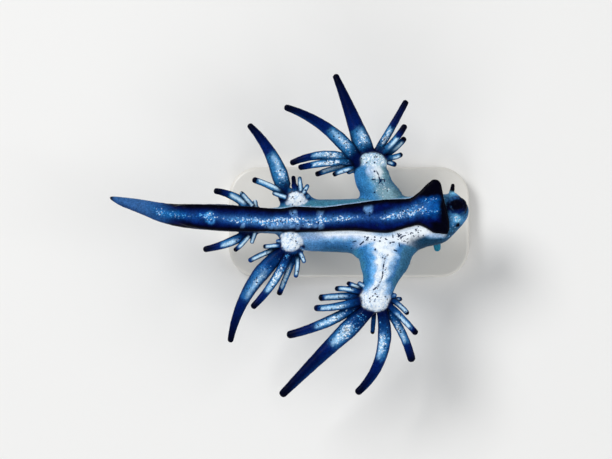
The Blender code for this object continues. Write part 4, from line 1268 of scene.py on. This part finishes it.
def skinMaterial():
    # Wet skin of a sea slug: clear mucus over dense pigment. The eye sees soft gloss, silver flecks
    # of guanine on the blue, black specks, and small lumps on the white pads.
    fleckMm, speckMm, bendMm, bendByMm, lumpMm = 0.12, 0.25, 0.2, 0.22, 0.06
    plus, less, most = {"operation": "ADD"}, {"operation": "SUBTRACT"}, {"operation": "MAXIMUM"}
    times, timesPlus = {"operation": "MULTIPLY"}, {"operation": "MULTIPLY_ADD"}
    clamp, colours = {"use_clamp": True}, {"data_type": "RGBA"}
    middle = {"From Min": 0.3, "From Max": 0.7}  # nearly all of a noise lies between these
    rows = [(name, "Attribute", {"attribute_name": name}, {}) for name in ("tint", "marks", "dull", "ink")]
    for name, sizeMm, detail, shift in (
            ("fine", 0.14, 3.0, 0.0), ("mottle", 0.55, 3.0, 0.0), ("cluster", 0.22, 2.0, 31.0),
            ("crowd", 0.7, 2.0, 11.0), ("squiggle", 0.18, 2.0, 83.0)):
        rows += [
            (name + "At", "Mapping", {}, {
                "Vector": "where.Object", "Location": (shift,) * 3, "Scale": (1 / (sizeMm * mm),) * 3}),
            (name, "TexNoise", {}, {
                "Vector": name + "At.0", "Scale": 1.0, "Detail": detail, "Roughness": 0.65}),
        ]
    rows += [
        ("amounts", "SeparateColor", {}, {"Color": "marks.Color"}),  # silver, dark and grain
        ("pale", "SeparateColor", {}, {"Color": "tint.Color"}),
        # deeper and paler blotches, and a fine grain, in every colour but white
        ("blotch", "MapRange", {}, {"Value": "mottle.Fac", **middle, "To Min": 0.78, "To Max": 1.18}),
        ("grainy", "MapRange", {}, {"Value": "fine.Fac", **middle, "To Min": 0.55, "To Max": 1.35}),
        ("change", "Math", timesPlus, ["blotch.0", "grainy.0", -1.0]),
        ("notWhite", "Math", timesPlus, ["pale.Red", -0.95, 1.0]),
        ("amount", "Math", timesPlus, ["change.0", "notWhite.0", 1.0]),
        ("scaled", "VectorMath", {"operation": "SCALE"}, {0: "tint.Color", "Scale": "amount.0"}),
        # silver flecks: grains in loose clusters, closer together where there is more silver, and
        # whiter where the skin is paler
        ("grains", "TexVoronoi", {}, {"Vector": "where.Object", "Scale": 1 / (fleckMm * mm)}),
        ("lots", "SeparateColor", {}, {"Color": "grains.Color"}),
        ("fleckLot", "Math", timesPlus, ["lots.Red", 0.40, 0.13]),
        ("fleck", "Math", timesPlus, ["cluster.Fac", 0.34, "fleckLot.0"]),
        ("fleckLimit", "Math", timesPlus, ["amounts.Red", 0.62, -0.86]),
        ("fleckOver", "Math", plus, ["fleck.0", "fleckLimit.0"]),
        ("fleckShare", "Math", {**times, **clamp}, ["fleckOver.0", 12.0]),
        ("paleSkin", "Math", timesPlus, ["pale.Red", 9.0, -0.95]),
        ("silverSkin", "Math", timesPlus, ["amounts.Red", 0.3, "paleSkin.0"]),
        ("whiter", "Math", {**timesPlus, **clamp}, ["lots.Green", 1.4, "silverSkin.0"]),
        ("fleckTint", "Mix", colours, {"Factor": "whiter.0", 6: opaque("#4a9fe0"), 7: opaque("#eff8ff")}),
        ("fleckCover", "Math", times, ["fleckShare.0", 0.92]),
        ("withSilver", "Mix", colours, {"Factor": "fleckCover.0", 6: "scaled.0", 7: "fleckTint.2"}),
        # dark specks of uneven shape: one in some of the cells of a grid with no order, closer
        # together in loose crowds
        ("bend", "TexNoise", {}, {"Vector": "where.Object", "Scale": 1 / (bendMm * mm)}),
        ("bent", "VectorMath", timesPlus, {0: "bend.Color", 1: (bendByMm * mm,) * 3, 2: "where.Object"}),
        ("cells", "TexVoronoi", {}, {"Vector": "bent.0", "Scale": 1 / (speckMm * mm)}),
        ("chance", "SeparateColor", {}, {"Color": "cells.Color"}),
        ("crowded", "Math", {**timesPlus, **clamp}, ["crowd.Fac", 3.4, -1.25]),
        ("darkCrowd", "Math", times, ["amounts.Green", "crowded.0"]),
        ("unchosen", "Math", times, ["chance.Red", -1.0]),
        ("choice", "Math", timesPlus, ["darkCrowd.0", 0.85, "unchosen.0"]),
        ("chosen", "Math", {**times, **clamp}, ["choice.0", 30.0]),
        ("dotRadius", "Math", timesPlus, ["fine.Fac", 0.5, 0.16]),
        ("dotInside", "Math", less, ["dotRadius.0", "cells.Distance"]),
        ("dotShare", "Math", {**times, **clamp}, ["dotInside.0", 11.0]),
        ("dots", "Math", times, ["chosen.0", "dotShare.0"]),
        # short dark squiggles among them, on the palest skin only
        ("squiggleLimit", "Math", timesPlus, ["amounts.Green", 0.45, -1.45]),
        ("squiggleOver", "Math", plus, ["squiggle.Fac", "squiggleLimit.0"]),
        ("squiggleCrowd", "Math", plus, ["squiggleOver.0", "crowd.Fac"]),
        ("squiggleHard", "Math", {**times, **clamp}, ["squiggleCrowd.0", 12.0]),
        ("onPale", "Math", {**timesPlus, **clamp}, ["pale.Red", 4.0, -0.6]),
        ("squiggles", "Math", times, ["squiggleHard.0", "onPale.0"]),
        ("specks", "Math", most, ["dots.0", "squiggles.0"]),
        # the crease down the front left arm and the longer squiggles, as thin uneven lines
        ("lineEdge", "Math", timesPlus, ["cluster.Fac", 0.14, 0.02]),
        ("lineInside", "Math", less, ["lineEdge.0", "ink.Fac"]),
        ("lineShare", "Math", {**times, **clamp}, ["lineInside.0", 22.0]),
        ("marked", "Math", most, ["specks.0", "lineShare.0"]),
        ("coloured", "Mix", colours, {"Factor": "marked.0", 6: "withSilver.2", 7: opaque("#0b2448")}),
        ("gloss", "MapRange", {}, {"Value": "fine.Fac", **middle, "To Min": 0.26, "To Max": 0.40}),
        ("rough", "Math", timesPlus, ["dull.Fac", 0.28, "gloss.0"]),
        ("lumps", "Math", times, ["fine.Fac", "amounts.Blue"]),
        ("bump", "Bump", {}, {"Height": "lumps.0", "Strength": 0.6, "Distance": lumpMm * mm}),
        ("shader", "BsdfPrincipled", {}, {
            "Base Color": "coloured.2", "Roughness": "rough.0", "Normal": "bump.0", "IOR": 1.33,
            "Specular IOR Level": 0.05}),
    ]
    return newMaterial("wetSlugSkin", rows)


def makeSkin():
    material = skinMaterial()
    parts = makeParts()
    mesh = buildSkinMesh(material, parts)
    refineMouth(mesh)
    rough, faces = meshArrays(mesh)
    edges = edgesOf(mesh)
    findNear(parts, rough)
    settling, evening = skin["rounds"]
    points, normals = settle(parts, rough, rough, settling)
    for _ in range(evening):
        points = relax(points, normals, edges, skin["evenShare"])
        points, normals = settle(parts, points, rough, 1)
    print("settled on the true surface")
    look = paintSkin(parts, points, normals)
    plainLumps, grainLumps = skin["relief"]
    points = relief(points, normals, plainLumps + grainLumps * look["grain"])
    final = newMesh("slugSkin", points * mm, faces)
    count = len(points)
    tint = np.column_stack([np.clip(look["tint"], 0, 1), np.ones(count)])
    marks = np.column_stack([look["silver"], look["dark"], look["grain"], np.ones(count)])
    inked = [lineDistance(points, line) for line in (skin["creaseLine"], *skin["darkLines"])]
    ink = np.where(normals[:, 2] > 0, np.minimum(np.min(inked, axis=0), 1.0), 1.0)
    for name, values in (("tint", tint), ("marks", marks)):
        final.attributes.new(name, "FLOAT_COLOR", "POINT").data.foreach_set("color", values.ravel())
    for name, values in (("dull", look["dull"]), ("ink", ink)):
        final.attributes.new(name, "FLOAT", "POINT").data.foreach_set("value", values)
    final.materials.append(material)
    final.shade_smooth()
    bpy.data.meshes.remove(mesh)
    triangles = sum(len(face) - 2 for face in faces)
    print("skin:", count, "points,", triangles, "triangles")
    return addObject("slugSkin", final)


stand = {
    "corner": 3.0,        # radius of the base's corners, seen from above
    "cornerSteps": 16,
    "edge": 0.35,         # radius of its upper edge
    "edgeSteps": 5,
    "foot": 0.12,         # bevel round its underside
    "sharpDegrees": 35,
    "rodSides": 48,
    "rodEdge": 0.05,
    "collar": 0.42,       # how far the collar stands out from the rod
    "collarHeight": 0.45,
    "collarEdge": 0.12,   # its rounded edge takes this much of its top and side
    "collarRound": 0.04,  # and passes this far in from where they would meet
    "collarSeam": 0.02,   # a fine groove where the rod comes out of it
}


def boxMm(node):
    low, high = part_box(node)
    return np.array(low) / mm, np.array(high) / mm


def baseOutline(low, high, inset):
    # a rectangle with round corners, drawn inside itself by inset
    radius = stand["corner"] - inset
    points = []
    for turn, (sx, sy) in enumerate(((1, 1), (-1, 1), (-1, -1), (1, -1))):
        cx = (high[0] if sx > 0 else low[0]) - sx * stand["corner"]
        cy = (high[1] if sy > 0 else low[1]) - sy * stand["corner"]
        for k in range(stand["cornerSteps"] + 1):
            a = (turn + k / stand["cornerSteps"]) * math.pi / 2
            points.append((cx + radius * math.cos(a), cy + radius * math.sin(a)))
    return np.array(points)


def solidFromRings(name, rings, material):
    points, faces = loft(rings)
    mesh = newMesh(name, points * mm, faces)
    bm = bmesh.new()
    bm.from_mesh(mesh)
    bmesh.ops.recalc_face_normals(bm, faces=bm.faces)
    bm.to_mesh(mesh)
    bm.free()
    mesh.materials.append(material)
    mesh.shade_smooth()
    mesh.set_sharp_from_angle(angle=math.radians(stand["sharpDegrees"]))
    return addObject(name, mesh)


def makeBase(material):
    low, high = boxMm("stand_base")
    levels = [(0.0, stand["foot"]), (stand["foot"], 0.0)]
    for k in range(stand["edgeSteps"] + 1):
        a = k / stand["edgeSteps"] * math.pi / 2
        levels.append((high[2] - stand["edge"] * (1 - math.sin(a)), stand["edge"] * (1 - math.cos(a))))
    rings = []
    for z, inset in levels:
        outline = baseOutline(low, high, inset)
        rings.append(np.column_stack([outline, np.full(len(outline), z)]))
    return solidFromRings("standBase", rings, material)


def makeRod(node, name, material):
    low, high = boxMm(node)
    cx, cy = (low[0] + high[0]) / 2, (low[1] + high[1]) / 2
    radius = (high[0] - low[0]) / 2
    floorZ = boxMm("stand_base")[1][2]
    out, lip = radius + stand["collar"], floorZ + stand["collarHeight"]
    edge, bend, seam, end = (stand[key] for key in ("collarEdge", "collarRound", "collarSeam", "rodEdge"))
    profile = [  # height and radius, from the collar's foot to the rod's upper end
        (floorZ, out), (lip - edge, out), (lip - bend, out - bend), (lip, out - edge),
        (lip, radius + seam), (lip + seam, radius), (high[2] - end, radius), (high[2], radius - end),
    ]
    angles = roundTurn(stand["rodSides"])
    rings = [
        np.column_stack([cx + r * np.cos(angles), cy + r * np.sin(angles), np.full(len(angles), z)])
        for z, r in profile
    ]
    return solidFromRings(name, rings, material)


def lacquerMaterial():
    # Satin lacquer on pale acrylic: a soft sheen over the faint ripple that a sprayed coat leaves.
    rippleMm, cloudMm, bumpMm = 0.6, 5.0, 0.01
    return newMaterial("satinLacquer", [
        ("ripple", "TexNoise", {}, {"Vector": "where.Object", "Scale": 1 / (rippleMm * mm), "Detail": 2.0}),
        ("cloud", "TexNoise", {}, {"Vector": "where.Object", "Scale": 1 / (cloudMm * mm), "Detail": 3.0}),
        ("tone", "Mix", {"data_type": "RGBA"}, {
            "Factor": "cloud.Fac", 6: opaque("#dcd8d0"), 7: opaque("#e4e1da")}),
        ("rough", "MapRange", {}, {"Value": "ripple.Fac", "To Min": 0.36, "To Max": 0.50}),
        ("bump", "Bump", {}, {"Height": "ripple.Fac", "Strength": 0.25, "Distance": bumpMm * mm}),
        ("shader", "BsdfPrincipled", {}, {
            "Base Color": "tone.2", "Roughness": "rough.0", "Normal": "bump.0", "Coat Weight": 0.3,
            "Coat Roughness": 0.25}),
    ])


def steelMaterial():
    # Drawn stainless steel rod: fine lines run round it, which stretch the highlight along it.
    lineMm, bumpMm = (0.9, 0.9, 0.05), 0.01
    return newMaterial("drawnSteel", [
        ("place", "Mapping", {}, {"Vector": "where.Object", "Scale": tuple(1 / (s * mm) for s in lineMm)}),
        ("lines", "TexNoise", {}, {"Vector": "place.0", "Scale": 1.0, "Detail": 3.0}),
        ("rough", "MapRange", {}, {"Value": "lines.Fac", "To Min": 0.20, "To Max": 0.38}),
        ("bump", "Bump", {}, {"Height": "lines.Fac", "Strength": 0.3, "Distance": bumpMm * mm}),
        ("shader", "BsdfPrincipled", {}, {
            "Base Color": opaque("#c9cbcd"), "Metallic": 1.0, "Roughness": "rough.0",
            "Normal": "bump.0"}),
    ])


studio = {
    "aim": (-4.302, -0.733, 10.0),   # what the camera looks straight down on
    "distance": 390.0,
    "frameWidth": 59.83,             # how much of it the frame shows from side to side
    "floorSize": 1600.0,
    "floorDrop": 0.02,               # how far the floor lies below the base
    "floorColour": "#edecea",
    "world": 0.32,
    "lights": [  # from, size, watts
        ((-260, 230, 380), 220, 1.75),
        ((330, -40, 300), 260, 0.55),
        ((-60, -380, 260), 260, 0.50),
    ],
}


def floorMaterial():
    # Matt paper sweep: nearly no sheen, and a tooth too fine to show as more than softness.
    toothMm, bumpMm = 0.5, 0.01
    return newMaterial("mattPaper", [
        ("tooth", "TexNoise", {}, {"Vector": "where.Object", "Scale": 1 / (toothMm * mm)}),
        ("bump", "Bump", {}, {"Height": "tooth.Fac", "Strength": 0.1, "Distance": bumpMm * mm}),
        ("shader", "BsdfPrincipled", {}, {
            "Base Color": opaque(studio["floorColour"]), "Roughness": 0.85, "Normal": "bump.0"}),
    ])


def makeStudio():
    scene = bpy.context.scene
    half = studio["floorSize"] / 2 * mm
    drop = -studio["floorDrop"] * mm
    corners = [(-half, -half, drop), (half, -half, drop), (half, half, drop), (-half, half, drop)]
    mesh = newMesh("floor", corners, [(0, 1, 2, 3)])
    mesh.materials.append(floorMaterial())
    addObject("floor", mesh)
    world = bpy.data.worlds.new("studio")
    world.use_nodes = True
    back = world.node_tree.nodes["Background"]
    back.inputs["Color"].default_value = opaque("#eef2f6")
    back.inputs["Strength"].default_value = studio["world"]
    scene.world = world
    aim = Vector(studio["aim"]) * mm
    for number, (place, size, watts) in enumerate(studio["lights"]):
        data = bpy.data.lights.new(f"softbox{number}", "AREA")
        data.shape = "DISK"
        data.size = size * mm
        data.energy = watts
        light = addObject(data.name, data)
        light.location = Vector(place) * mm
        light.rotation_euler = (aim - light.location).to_track_quat("-Z", "Y").to_euler()
    data = bpy.data.cameras.new("camera")
    data.lens = data.sensor_width * studio["distance"] / studio["frameWidth"]
    camera = addObject("camera", data)
    camera.location = aim + Vector((0, 0, studio["distance"] * mm))
    scene.camera = camera
    scene.view_settings.view_transform = "Standard"
    print("studio ready")


makeStudio()
slug = makeSkin()
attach(slug, "root")
fleshNodes = [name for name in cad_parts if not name.startswith("stand_")]
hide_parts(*fleshNodes)

base = makeBase(lacquerMaterial())
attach(base, "root")
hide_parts("stand_base")
steel = steelMaterial()
for node, name in (("stand_rod_front", "standRodFront"), ("stand_rod_rear", "standRodRear")):
    rod = makeRod(node, name, steel)
    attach(rod, "root")
    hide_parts(node)
print("stand ready")
